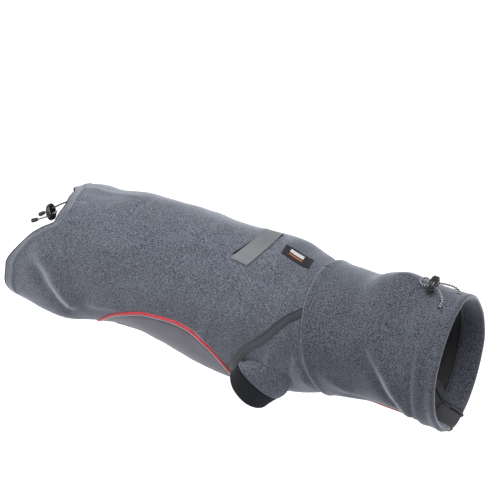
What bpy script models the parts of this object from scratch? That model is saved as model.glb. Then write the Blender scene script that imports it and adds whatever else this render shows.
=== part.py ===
"""A small dog's pullover, filled out as it is worn.

Marled fleece back, shoulders with short sleeves and a collar folded down over the neck seam,
a stretch belly panel between two red pipings, a tape over each raglan seam, black cuffs,
a bridge of reflective fabric over the lead slot, a woven label, and an elastic cord with a
cord lock in the neck hem and in the tail hem.

Sizes in the tables are millimetres. +X points to the head, +Y to the dog's left, +Z up.
The origin is on the wearer's spine, against the inner face of the back panel.
"""

import math

import bmesh
import bpy
import numpy as np
from mathutils import Matrix, Vector

MM = 0.001

# Walls
FLEECE = 2.2
STRETCH = 1.2
TAPE = 1.3
RIB = 1.8
WEBBING = 0.8
FACING = 0.5

# Seams and trims
SEAM_GAP = 0.4
PIPING_RADIUS = 1.9
PIPING_DEPTH = 0.5
FLASH_RADIUS = 0.7
TAPE_WIDTH = 8.0
HEM_RADIUS = 2.7
TAIL_HEM_DEPTH = 14.0
NECK_HEM_DEPTH = 25.0
PATCH_LIFT = 0.5
MM_PER_DEGREE = 1.2

# The pipings dip under the collar: where that starts, its run and its depth
DIP_START = 128.0
DIP_LENGTH = 16.0
DIP_DEPTH = 1.8

# Stations along the tubes, their least gap, and the turns of the collar's fold
STATION_GAP = 2.0
NECK_SEAM = 172.0
TUCK_STATIONS = (171.0, 163.0, 154.0)
COLLAR_STATIONS = (151.0, 165.0, 182.0, 200.0, 219.0, 238.0, 257.0, 277.0, 297.0)
COLLAR_MOUTH = COLLAR_STATIONS[-1]
COLLAR_CLEAR = 1.2
FOLD_TURNS = (-50.0, -15.0, 20.0, 55.0)
HEM_FADE_END = -95.0
HEM_FADE = 1.6
BELLY_ARCH = 26.0
ARCH_LENGTH = 90.0
ARCH_FADE = 1.5
SLEEVE_BEND = 0.5

# Cords and cord locks
CORD_RADIUS = 1.0
LOCK_SIZE = (21.4, 12.8, 7.4)
LOCK_RIM = 2.2
LOCK_HOLE_RADIUS = 1.45
LOCK_HOLE_OFFSET = 3.6
LOCK_LEAD = 0.8
END_CAP_RADIUS = 2.6
END_CAP_LENGTH = 9.0
CAP_RIM = 0.6


def table(columns, *rows):
    """Named columns of a short table."""
    values = np.array(rows, dtype=float)
    return {name: values[:, i] for i, name in enumerate(columns.split())}


# Sections of the body: how far the top leans forward, top, bottom and widest heights, and the
# powers of the superellipse above and below the widest line (2 is an ellipse, 3 is squarer).
BODY = table(
    "x     lean  top   bottom half_width wide n_top n_bottom",
    (-275,   0,  -55, -153,  53, -103, 2.2, 3.0),
    (-240,   0,  -38, -159,  60,  -97, 2.4, 3.0),
    (-210,   0,  -19, -164,  65,  -92, 2.7, 3.0),
    (-182,   0,  -10.5, -165,  68,  -87, 2.7, 2.9),
    (-144,   0,   -3.5, -160,  71,  -81, 2.0, 2.5),
    (-96,    0,    6, -151,  73,  -78, 1.8, 2.2),
    (-48,    0,    5, -163,  75,  -79, 1.8, 2.0),
    (0,      0,  2.2, -178,  75,  -80, 1.75, 2.0),
    (48,     0,   -1, -186,  75,  -81, 1.85, 1.9),
    (96,   -10,   -2, -184,  73,  -81, 2.0, 1.7),
    (134,  -18,  -17, -166,  69,  -80, 2.2, 1.9),
    (150,  -18,  -22, -156,  64,  -81, 1.9, 2.0),
    (172,  -18,  -27, -149,  60,  -82, 1.9, 2.0),
)
# Sections of the collar's outer face, from its fold to its mouth.
COLLAR = table(
    "x     lean  top   bottom half_width wide n_top n_bottom",
    (140,  -16,  -16, -163,  71,  -81, 1.9, 2.0),
    (192,  -10,  -18, -157,  67,  -82, 1.9, 2.0),
    (216,   -7,   -5, -154,  66,  -82, 1.75, 2.0),
    (238,   -4,    5, -154,  66,  -82, 1.4, 2.0),
    (256,   -3,   -3, -155,  67,  -82, 1.6, 2.0),
    (272,   -2,  -10, -160,  68,  -83, 1.95, 2.0),
    (300,    0,   -5, -167,  69,  -88, 1.65, 1.8),
)
# Seams, as the angle from the spine at each station of the body.
PIPING_SEAM = table(
    "x angle",
    (-133, 144), (-110, 126), (-80, 110), (-45, 100), (-10, 97), (20, 102), (40, 115),
    (55, 138), (75, 155), (115, 164), (172, 166), (184, 166),
)
RAGLAN_SEAM = table(
    "x angle", (44, 136), (60, 118), (80, 103), (105, 88), (130, 70), (150, 52), (172, 39), (184, 33))
# The tail hem across the back, from the flap's right corner to its left one.
TAIL_HEM = table(
    "angle x",
    (-138, -254), (-115, -260), (-90, -254), (-70, -236), (-50, -200), (-40, -183), (-20, -183),
    (0, -192), (15, -206), (35, -208), (50, -214), (70, -236), (90, -254), (115, -260), (138, -254),
)
FLAP_EDGE = table("x angle", (-254, 138), (-225, 141), (-195, 142.5), (-165, 143), (-133, 141.5))
THROAT_SEAM = table(
    "x angle", (147, 166), (198, 160), (222, 150), (240, 147), (257, 150), (277, 161), (297, 165))
TRIM_ANGLE = 2.5

# Armhole on the body, the seam ring and the free edge of the right cuff. Each ring has its
# middle, the way to its front, its outer side and its inner side.
ARMHOLE_MIDDLE = (95.0, -124.0)
ARMHOLE_AHEAD = (23.0, -4.0)
ARMHOLE_ACROSS = 11.5
SLEEVE_SEAM = table(
    "part x y z",
    (0, 92.0, -62.8, -141.5), (1, 19.0, 9.5, -23.0), (2, -0.5, -14.5, 5.0), (3, 0.0, 5.5, -2.0),
)
CUFF_EDGE = table(
    "part x y z",
    (0, 79.5, -62.0, -155.5), (1, 19.5, 8.0, -17.5), (2, -0.5, -14.0, -11.0), (3, 0.5, 7.0, 1.5),
)

LABEL_MIDDLE = (120.3, -3.2)
LABEL_SIZE = (35.5, 17.0)
LABEL_TURN = math.radians(12.0)
BRIDGE = ((41.5, -32.5), (65.5, -34.0), (80.0, 14.5), (49.5, 20.0))
BRIDGE_RISE = 0.6
BRIDGE_BOW = 9.2
SLOT = ((40.5, -28.0), (61.5, -29.0), (81.0, 17.0), (47.8, 22.5))

# Cord locks and cords, millimetres. Each lock has its middle, the way its cords run through it
# and its long side.
TAIL_LOCK = table("part x y z", (0, -213, -18, -36), (1, -0.8, -0.08, -0.6), (2, -0.5, 0.64, 0.59))
TAIL_CORD_LEFT = [(-190, 2, -21.6), (-197, -4, -24), (-204, -10, -27)]
TAIL_CORD_RIGHT = [(-190.5, -36, -19.5), (-196, -30, -26), (-201, -25, -30)]
TAIL_ENDS = [(-229.0, -15.0, -44.0), (-235.5, -21.0, -51.5)]
NECK_LOCK = table("part x y z", (0, 263.8, -1.5, 1.4), (1, -1, 0, 0.05), (2, 0.05, 0.92, 0.39))
NECK_BUTTONHOLES = ((282.0, -18.5), (289.0, 11.0))
BUTTONHOLE_TURN = 20.0
BUTTONHOLE_SIZE = (9.6, 2.8)
BUTTONHOLE_LIFT = 0.9
NECK_CORD_RIGHT = [(273.0, -6.6, -0.9), (277.2, -10.8, -2.9), (280.6, -15.6, -6.0)]
NECK_CORD_LEFT = [(285.7, 11.0, -4.3), (281.2, 9.3, -1.6), (274.8, 5.2, 1.2)]
BIGHT_REACH = 5.8
BIGHT_RADIUS = 4.8


def smooth(tab, column, x, key="x"):
    """Monotone cubic through a column, so that nothing bulges between two rows."""
    xs, ys = tab[key], tab[column]
    step = np.diff(xs)
    slope = np.diff(ys) / step
    before, after = slope[:-1], slope[1:]
    same = before * after > 0
    weight_a, weight_b = 2 * step[1:] + step[:-1], step[1:] + 2 * step[:-1]
    mean = (weight_a + weight_b) / (
        weight_a / np.where(same, before, 1) + weight_b / np.where(same, after, 1))
    tangent = np.concatenate([slope[:1], np.where(same, mean, 0.0), slope[-1:]])
    x = np.clip(np.asarray(x, float), xs[0], xs[-1])
    i = np.clip(np.searchsorted(xs, x) - 1, 0, len(xs) - 2)
    t = (x - xs[i]) / step[i]
    return ((1 + 2 * t) * (1 - t) ** 2 * ys[i] + t * (1 - t) ** 2 * step[i] * tangent[i]
            + t * t * (3 - 2 * t) * ys[i + 1] + t * t * (t - 1) * step[i] * tangent[i + 1])


def tube(tab, x, angle):
    """Point of a tube's outer face; the angle runs from the spine, positive to the left."""
    x, angle = np.broadcast_arrays(np.asarray(x, float), np.asarray(angle, float))
    angle = (angle + 180.0) % 360.0 - 180.0
    turn = np.radians(np.abs(angle))
    upper = turn <= math.pi / 2
    top, bottom, wide = (smooth(tab, name, x) for name in ("top", "bottom", "wide"))
    power = 2 / np.where(upper, smooth(tab, "n_top", x), smooth(tab, "n_bottom", x))
    rise = np.where(upper, top, bottom) - wide
    y = np.sign(angle) * smooth(tab, "half_width", x) * np.abs(np.sin(turn)) ** power
    z = wide + rise * np.abs(np.cos(turn)) ** power
    lean = smooth(tab, "lean", x) * (2 * z - top - bottom) / (top - bottom)
    return np.stack([x + lean, y, z], axis=-1)


def frame_at(tab, x, angle):
    """Unit vectors along the tube, around it and out of it."""
    along = tube(tab, np.add(x, 0.5), angle) - tube(tab, np.subtract(x, 0.5), angle)
    around = tube(tab, x, np.add(angle, 0.5)) - tube(tab, x, np.subtract(angle, 0.5))
    out = np.cross(along, around)
    return [v / np.linalg.norm(v, axis=-1, keepdims=True) for v in (along, around, out)]


def raised(tab, x, angle, lift):
    """Point a distance above the tube's outer face."""
    x, angle = np.broadcast_arrays(np.asarray(x, float), np.asarray(angle, float))
    return tube(tab, x, angle) + frame_at(tab, x, angle)[2] * np.asarray(lift)[..., None]


def sidestep(tab, path, distance):
    """A path of (x, angle) rows, moved sideways on the tube; positive is away from the spine."""
    x, angle = path[:, 0], path[:, 1]
    points = tube(tab, x, angle)
    run = np.gradient(points, axis=0)
    run /= np.linalg.norm(run, axis=1, keepdims=True)
    along, around, out = frame_at(tab, x, angle)
    side = np.cross(run, out)
    side *= np.sign((side * around).sum(1))[:, None] * np.sign(angle)[:, None]
    step_x = (tube(tab, x + 0.5, angle) - tube(tab, x - 0.5, angle))
    step_a = (tube(tab, x, angle + 0.5) - tube(tab, x, angle - 0.5))
    moved = path.copy()
    for k in range(len(path)):
        basis = np.stack([step_x[k], step_a[k]], axis=1)
        moved[k] += np.linalg.lstsq(basis, side[k] * distance, rcond=None)[0]
    return moved


def meeting(path_a, path_b):
    """Where two (x, angle) paths cross: the point and the segment of each."""
    for i in range(len(path_a) - 1):
        for j in range(len(path_b) - 1):
            a, b = path_a[i], path_b[j]
            basis = np.stack([path_a[i + 1] - a, b - path_b[j + 1]], axis=1)
            if abs(np.linalg.det(basis)) < 1e-9:
                continue
            s, t = np.linalg.solve(basis, b - a)
            if 0 <= s <= 1 and 0 <= t <= 1:
                return a + s * (path_a[i + 1] - a), i, j
    raise ValueError("the two paths do not cross")


def seam_path(tab_seam, count):
    """Stations along a seam, evenly spaced along the cloth."""
    x = np.linspace(tab_seam["x"][0], tab_seam["x"][-1], 400)
    angle = smooth(tab_seam, "angle", x)
    points = tube(BODY, x, angle)
    length = np.concatenate([[0], np.cumsum(np.linalg.norm(np.diff(points, axis=0), axis=1))])
    even = np.linspace(0, length[-1], count)
    return np.stack([np.interp(even, length, x), np.interp(even, length, angle)], axis=1)


# ---------------------------------------------------------------- Blender helpers

def material(name, color, roughness):
    """Principled material with the part's colour."""
    mat = bpy.data.materials.new(name)
    mat.use_nodes = True
    shader = mat.node_tree.nodes["Principled BSDF"]
    shader.inputs["Base Color"].default_value = (*color, 1.0)
    shader.inputs["Roughness"].default_value = roughness
    return mat


def add_object(name, data, mat, collection):
    obj = bpy.data.objects.new(name, data)
    data.materials.append(mat)
    collection.objects.link(obj)
    return obj


def move_to(obj, collection):
    """Put an object in one collection alone."""
    for other in obj.users_collection:
        other.objects.unlink(obj)
    collection.objects.link(obj)


def lofted_mesh(name, rings, closed_rings=False):
    """Surface through rows of points in millimetres."""
    rows, columns = rings.shape[:2]
    bm = bmesh.new()
    verts = [[bm.verts.new(Vector(p) * MM) for p in row] for row in rings]
    for near, far in zip(verts, verts[1:]):
        for j in range(columns if closed_rings else columns - 1):
            m = (j + 1) % columns
            bm.faces.new((near[j], near[m], far[m], far[j]))
    mesh = bpy.data.meshes.new(name)
    bm.to_mesh(mesh)
    bm.free()
    mesh.shade_smooth()
    return mesh


def cloth(name, rings, wall, mat, collection, closed_rings=False, flip=False):
    """Cloth whose outer face passes through the rings, its wall inside them."""
    if flip:
        rings = rings[:, ::-1]
    mesh = lofted_mesh(name, rings, closed_rings)
    obj = add_object(name, mesh, mat, collection)
    shell = obj.modifiers.new("Wall", "SOLIDIFY")
    shell.thickness = wall * MM
    shell.offset = -1.0
    return obj


def cord(name, points, radius, mat, collection, resolution=2):
    """Round tube along points in millimetres."""
    curve = bpy.data.curves.new(name, "CURVE")
    curve.dimensions = "3D"
    curve.bevel_depth = radius * MM
    curve.bevel_resolution = resolution
    curve.use_fill_caps = True
    spline = curve.splines.new("POLY")
    spline.points.add(len(points) - 1)
    for knot, point in zip(spline.points, points):
        knot.co = (*(Vector(point) * MM), 1.0)
    return add_object(name, curve, mat, collection)


def eased(points, spacing):
    """Even points on a smooth curve through a hand-placed route (Catmull-Rom)."""
    route = np.array(points, dtype=float)
    ends = np.concatenate([[2 * route[0] - route[1]], route, [2 * route[-1] - route[-2]]])
    fine = []
    for a, b, c, d in zip(ends, ends[1:], ends[2:], ends[3:]):
        for t in np.linspace(0, 1, 24, endpoint=False):
            fine.append(0.5 * (2 * b + (c - a) * t + (2 * a - 5 * b + 4 * c - d) * t * t
                               + (3 * b - a - 3 * c + d) * t ** 3))
    fine = np.array(fine + [route[-1]])
    length = np.concatenate([[0], np.cumsum(np.linalg.norm(np.diff(fine, axis=0), axis=1))])
    even = np.linspace(0, length[-1], max(4, round(length[-1] / spacing) + 1))
    return np.stack([np.interp(even, length, fine[:, k]) for k in range(3)], axis=1)


def mirrored(rings):
    """The same rows on the dog's other side."""
    return rings * np.array([1.0, -1.0, 1.0])


# ---------------------------------------------------------------- seams shared by the pieces

PIPING = seam_path(PIPING_SEAM, 30)
PIPING_SIDE = sidestep(BODY, PIPING, -(PIPING_RADIUS + SEAM_GAP))
FLASH = sidestep(BODY, PIPING, PIPING_RADIUS + SEAM_GAP + FLASH_RADIUS)
BELLY_SIDE = sidestep(BODY, PIPING, PIPING_RADIUS + 2 * SEAM_GAP + 2 * FLASH_RADIUS)
RAGLAN = seam_path(RAGLAN_SEAM, 15)
TAPE_REAR = sidestep(BODY, RAGLAN, -TAPE_WIDTH / 2)
TAPE_FRONT = sidestep(BODY, RAGLAN, TAPE_WIDTH / 2)
BACK_SIDE = sidestep(BODY, RAGLAN, -(TAPE_WIDTH / 2 + SEAM_GAP))
SHOULDER_SIDE = sidestep(BODY, RAGLAN, TAPE_WIDTH / 2 + SEAM_GAP)


def from_meeting(path, limit):
    """The part of a seam's path towards the neck, from where it meets another."""
    point, i, _ = meeting(path, limit)
    rest = path[i + 1:]
    rest = rest[np.hypot(*(rest - point).T) > STATION_GAP]
    return np.concatenate([[point], rest])


def padded(path, count):
    """A path with more stations on its first leg, to match a longer one."""
    extra = np.arange(1, count - len(path) + 1)[:, None] / (count - len(path) + 1)
    return np.concatenate([path[:1], path[0] + (path[1] - path[0]) * extra, path[1:]])


def to_neck(path):
    """A path cut off at the neck seam."""
    angle = np.interp(NECK_SEAM, path[:, 0], path[:, 1])
    return np.concatenate([path[path[:, 0] < NECK_SEAM - STATION_GAP], [[NECK_SEAM, angle]]])


# ---------------------------------------------------------------- pieces

def back_panel():
    """Fleece from the tail hem to the neck seam, turned under at the tail."""
    corner, _, i_pipe = meeting(BACK_SIDE, PIPING_SIDE)
    flap = np.stack([FLAP_EDGE["x"], FLAP_EDGE["angle"]], axis=1)
    lower = PIPING_SIDE[1:i_pipe + 1]
    lower = lower[corner[0] - lower[:, 0] > STATION_GAP]
    upper = to_neck(from_meeting(BACK_SIDE, PIPING_SIDE))
    edge = np.concatenate([flap[:-1], PIPING_SIDE[:1], lower, upper])
    share = np.linspace(-1, 1, 21)
    hem_angle = share * edge[0, 1]
    hem_x = smooth(TAIL_HEM, "x", hem_angle, key="angle")
    reach = np.clip((edge[:, 0] - edge[0, 0]) / (HEM_FADE_END - edge[0, 0]), 0, 1)
    fade = (1 - reach) ** HEM_FADE
    x = edge[:, :1] + fade[:, None] * (hem_x - edge[0, 0])[None, :]
    x = np.maximum.accumulate(x, axis=0)
    angle = edge[:, 1:] * share[None, :]
    outer = tube(BODY, x, angle)
    out = frame_at(BODY, x[0], angle[0])[2]
    hem = turned_hem(outer[0], outer[0] - outer[1], out, TAIL_HEM_DEPTH)
    return np.concatenate([hem, outer])


def turned_hem(edge, run, out, depth):
    """Rows of a hem folded inwards past an edge, from its hidden end to the edge."""
    run = run - (run * out).sum(1, keepdims=True) * out
    run /= np.linalg.norm(run, axis=1, keepdims=True)
    rows = [edge - run * depth * share - out * 2 * HEM_RADIUS for share in (1.0, 0.45, 0.0)]
    for turn in np.radians([135.0, 90.0, 45.0]):
        rows.append(edge + run * HEM_RADIUS * math.sin(turn)
                    - out * HEM_RADIUS * (1 - math.cos(turn)))
    return np.stack(rows)


def belly_panel():
    """Stretch fabric under the belly and chest, its tail edge arched forwards."""
    side = to_neck(BELLY_SIDE)
    share = np.linspace(-1, 1, 7)
    span = 180.0 - side[:, 1]
    angle = 180.0 - span[:, None] * share[None, :]
    fade = np.clip(1 - (side[:, 0] - side[0, 0]) / ARCH_LENGTH, 0, 1) ** ARCH_FADE
    x = side[:, :1] + fade[:, None] * BELLY_ARCH * (1 - share ** 2)[None, :]
    return tube(BODY, x, angle)


def ring_point(ring, turn):
    """Point of a sleeve ring: turn 0 is its front, 90 degrees its outer side."""
    middle, ahead, outside, inside = (
        np.array([ring[c][k] for c in "xyz"]) for k in range(4))
    across = np.sin(turn)[:, None]
    return (middle + np.cos(turn)[:, None] * ahead
            + np.clip(across, 0, 1) * outside - np.clip(across, -1, 0) * inside)


def shoulder_outline():
    """Edge of the right shoulder panel in (x, angle), closed, from the underarm corner."""
    top = to_neck(from_meeting(SHOULDER_SIDE, PIPING_SIDE))
    low = to_neck(from_meeting(PIPING_SIDE, SHOULDER_SIDE))[1:]
    front = np.linspace(top[-1, 1], low[-1, 1], 9)[1:-1]
    front = np.stack([np.full(len(front), NECK_SEAM), front], axis=1)
    return np.concatenate([top, front, low[::-1]])


def shoulder_panel():
    """Fleece shoulder that runs on into a short sleeve; the right one."""
    outline = shoulder_outline() * (1, -1)
    middle = np.array(ARMHOLE_MIDDLE)
    away = (outline - middle) * (1.0, MM_PER_DEGREE)
    turn = np.arctan2(away[:, 1], away[:, 0])
    hole = (middle + np.cos(turn)[:, None] * ARMHOLE_AHEAD
            + np.sin(turn)[:, None] * (0.0, ARMHOLE_ACROSS))
    rows = []
    for share in (0.0, 0.1, 0.25, 0.45, 0.7, 1.0):
        path = outline + (hole - outline) * share
        rows.append(tube(BODY, path[:, 0], path[:, 1]))
    start, end = rows[-1], ring_point(SLEEVE_SEAM, turn)
    run = ring_point(CUFF_EDGE, turn) - end
    run /= np.linalg.norm(run, axis=1, keepdims=True)
    bend = end - run * SLEEVE_BEND * np.linalg.norm(end - start, axis=1, keepdims=True)
    for t in (0.25, 0.5, 0.75, 1.0):
        rows.append((1 - t) ** 2 * start + 2 * t * (1 - t) * bend + t * t * end)
    return np.stack(rows), turn


def cuff(turn):
    """Cuff from the sleeve's seam to its free edge; the right one."""
    near, far = ring_point(SLEEVE_SEAM, turn), ring_point(CUFF_EDGE, turn)
    run = (far - near) / np.linalg.norm(far - near, axis=1, keepdims=True)
    near = near + run * 3 * SEAM_GAP
    return np.stack([near + (far - near) * share for share in (0.0, 0.5, 1.0)])


def raglan_tape():
    """Tape over the raglan seam, from the piping to the neck seam; the right one."""
    rear = to_neck(from_meeting(TAPE_REAR, PIPING_SIDE))
    front = to_neck(from_meeting(TAPE_FRONT, PIPING_SIDE))
    count = max(len(rear), len(front))
    rear, front = padded(rear, count), padded(front, count)
    path = np.stack([rear, (rear + front) / 2, front], axis=1) * (1, -1)
    return tube(BODY, path[..., 0], path[..., 1])


def throat_angle(x):
    """Angle of the throat seam at a station of the collar."""
    return smooth(THROAT_SEAM, "angle", x)


def collar_rows(angles):
    """The collar's cloth from the neck seam back under its fold, out to the mouth and in.

    angles(x) gives the columns' angles at a station.
    """
    rows = [raised(BODY, x, angles(x), SEAM_GAP + COLLAR_CLEAR) for x in TUCK_STATIONS]
    fold = COLLAR_STATIONS[0]
    low, high = rows[-1], tube(COLLAR, fold, angles(fold))
    along = frame_at(COLLAR, fold, angles(fold))[0]
    middle, half = (low + high) / 2, (high - low) / 2
    depth = np.linalg.norm(half, axis=1, keepdims=True)
    for turn in np.radians(FOLD_TURNS):
        rows.append(middle + half * math.sin(turn) - along * depth * math.cos(turn))
    rows += [tube(COLLAR, x, angles(x)) for x in COLLAR_STATIONS]
    along, _, out = frame_at(COLLAR, COLLAR_MOUTH, angles(COLLAR_MOUTH))
    hem = turned_hem(rows[-1], along, out, NECK_HEM_DEPTH)
    return np.concatenate([np.stack(rows), hem[::-1]])


def collar():
    """Fleece collar, open along the throat where the stretch gusset goes."""
    share = np.linspace(-1, 1, 29)
    return collar_rows(lambda x: share * (throat_angle(x) - TRIM_ANGLE))


def throat_gusset():
    """Stretch gusset that closes the collar under the throat."""
    share = np.linspace(1, -1, 5)
    return collar_rows(lambda x: 180.0 - share * (180.0 - throat_angle(x) - TRIM_ANGLE))


def throat_piping():
    """Piping along the gusset, from the collar's fold to the turn of its mouth; the right one."""
    rows = collar_rows(lambda x: np.array([-0.6, 0.0, 0.6]) - throat_angle(x))
    rows = rows[len(TUCK_STATIONS) + 2:-4]
    line, run = rows[:, 1], np.gradient(rows[:, 1], axis=0)
    out = np.cross(run, rows[:, 2] - rows[:, 0])
    out /= np.linalg.norm(out, axis=1, keepdims=True)
    return line - out * PIPING_DEPTH


def patch(corners, columns, rows, lift):
    """Rows of points over a four-cornered patch of the body, given in (x, angle).

    Its long sides bow forwards between the corners.
    """
    a, b, c, d = (np.array(corner, float) for corner in corners)
    u, v = np.meshgrid(np.linspace(0, 1, columns), np.linspace(0, 1, rows))
    u, v = u[..., None], v[..., None]
    place = (a * (1 - u) + b * u) * (1 - v) + (d * (1 - u) + c * u) * v
    place[..., :1] += BRIDGE_BOW * 4 * v * (1 - v)
    return raised(BODY, place[..., 0], place[..., 1], lift(place) if callable(lift) else lift)


def bridge_lift(place):
    """The reflective bridge stands clear of the slot between its two stitched ends."""
    middle = (BRIDGE[0][1] + BRIDGE[2][1]) / 2
    reach = np.clip((place[..., 1] - middle) / (BRIDGE[2][1] - middle), -1, 1)
    return PATCH_LIFT + FACING + WEBBING + SEAM_GAP + BRIDGE_RISE * np.cos(reach * math.pi / 2)


def label():
    """Woven label, a rectangle turned a little on the back."""
    half = np.array(LABEL_SIZE) / 2
    c, s = math.cos(LABEL_TURN), math.sin(LABEL_TURN)
    x, y = np.meshgrid(np.linspace(-half[0], half[0], 6), np.linspace(-half[1], half[1], 4))
    station = LABEL_MIDDLE[0] + c * x - s * y
    angle = LABEL_MIDDLE[1] + (s * x + c * y) / MM_PER_DEGREE
    return raised(BODY, station, angle, PATCH_LIFT + WEBBING)


def buttonhole(place):
    """Stitched buttonhole in the neck hem, around the cord's way out."""
    x, angle = place
    turn = math.radians(math.copysign(BUTTONHOLE_TURN, -angle))
    length, width = BUTTONHOLE_SIZE
    along, across = np.meshgrid(np.linspace(-length / 2, length / 2, 4),
                                np.linspace(-width / 2, width / 2, 3))
    station = x + along * math.cos(turn) - across * math.sin(turn)
    around = (along * math.sin(turn) + across * math.cos(turn)) / MM_PER_DEGREE
    return raised(COLLAR, station, angle + around, BUTTONHOLE_LIFT)


def lock_axes(lock):
    """A cord lock's middle, cord direction and long side, the last two square to each other."""
    middle, along, long_side = (Vector((lock["x"][k], lock["y"][k], lock["z"][k]))
                                for k in range(3))
    along.normalize()
    long_side = (long_side - long_side.dot(along) * along).normalized()
    return middle, along, long_side


def cord_lock(name, lock, mat, collection, cutters):
    """Flat oval cord lock with a rounded rim and a hole for each cord."""
    middle, along, long_side = lock_axes(lock)
    turn = Matrix((long_side, along.cross(long_side), along)).transposed().to_4x4()
    place = Matrix.Translation(middle * MM) @ turn
    bpy.ops.mesh.primitive_cylinder_add(vertices=24, radius=0.5, depth=1.0)
    obj = bpy.context.object
    obj.name = name
    obj.data.transform(Matrix.Diagonal((*(Vector(LOCK_SIZE) * MM), 1.0)))
    obj.matrix_world = place
    rim = obj.modifiers.new("Rim", "BEVEL")
    rim.width = LOCK_RIM * MM
    rim.segments = 2
    rim.limit_method = "ANGLE"
    obj.data.materials.append(mat)
    for sign in (1, -1):
        bpy.ops.mesh.primitive_cylinder_add(vertices=12, radius=LOCK_HOLE_RADIUS * MM,
                                            depth=3 * LOCK_SIZE[2] * MM)
        hole = bpy.context.object
        hole.name = f"{name}_hole_{'a' if sign > 0 else 'b'}"
        hole.matrix_world = place @ Matrix.Translation((sign * LOCK_HOLE_OFFSET * MM, 0, 0))
        hole.hide_render = True
        hole.display_type = "WIRE"
        move_to(hole, cutters)
        cut = obj.modifiers.new("Hole", "BOOLEAN")
        cut.operation = "DIFFERENCE"
        cut.object = hole
    move_to(obj, collection)
    return obj


def lock_hole(lock, sign):
    """Points along one hole of a lock, from where the cord comes in to where it goes out."""
    middle, along, long_side = lock_axes(lock)
    centre = middle + long_side * LOCK_HOLE_OFFSET * sign
    half = LOCK_SIZE[2] / 2 + LOCK_LEAD
    return [tuple(centre + along * half * step) for step in (-1.0, 0.0, 1.0)]


def tail_cord(start, lock, sign, end):
    """Cord from the tail hem through its hole in the lock to its end cap."""
    inside = lock_hole(lock, sign)
    reach = Vector(end) - Vector(inside[-1])
    last = Vector(end) - reach.normalized() * (END_CAP_LENGTH / 2 + SEAM_GAP)
    return eased(list(start) + inside + [tuple(last)], 2.4)


def neck_cord():
    """Elastic loop of the neck hem: out of one buttonhole, through the lock, round and back."""
    lift = BUTTONHOLE_LIFT + CORD_RADIUS + SEAM_GAP
    near, far = (tuple(raised(COLLAR, x, angle, lift)) for x, angle in NECK_BUTTONHOLES)
    middle, along, long_side = lock_axes(NECK_LOCK)
    turn = middle + along * (LOCK_SIZE[2] / 2 + BIGHT_REACH)
    bight = [tuple(turn + BIGHT_RADIUS * (long_side * math.cos(a) + along * math.sin(a)))
             for a in np.linspace(-0.3, math.pi + 0.3, 11)]
    route = ([far] + NECK_CORD_LEFT + lock_hole(NECK_LOCK, 1) + bight
             + lock_hole(NECK_LOCK, -1)[::-1] + NECK_CORD_RIGHT + [near])
    return eased(route, 2.2)


def turned_piece(name, radius, height, middle, axis, mat, collection):
    """Short round piece with rounded rims, its middle and axis given in millimetres."""
    bpy.ops.mesh.primitive_cylinder_add(vertices=20, radius=radius * MM, depth=height * MM)
    obj = bpy.context.object
    obj.name = name
    obj.data.name = name
    turn = Vector((0, 0, 1)).rotation_difference(Vector(axis))
    obj.matrix_world = Matrix.Translation(Vector(middle) * MM) @ turn.to_matrix().to_4x4()
    rim = obj.modifiers.new("Rim", "BEVEL")
    rim.width = CAP_RIM * MM
    rim.segments = 2
    obj.data.materials.append(mat)
    obj.data.shade_smooth()
    move_to(obj, collection)
    return obj


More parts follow.
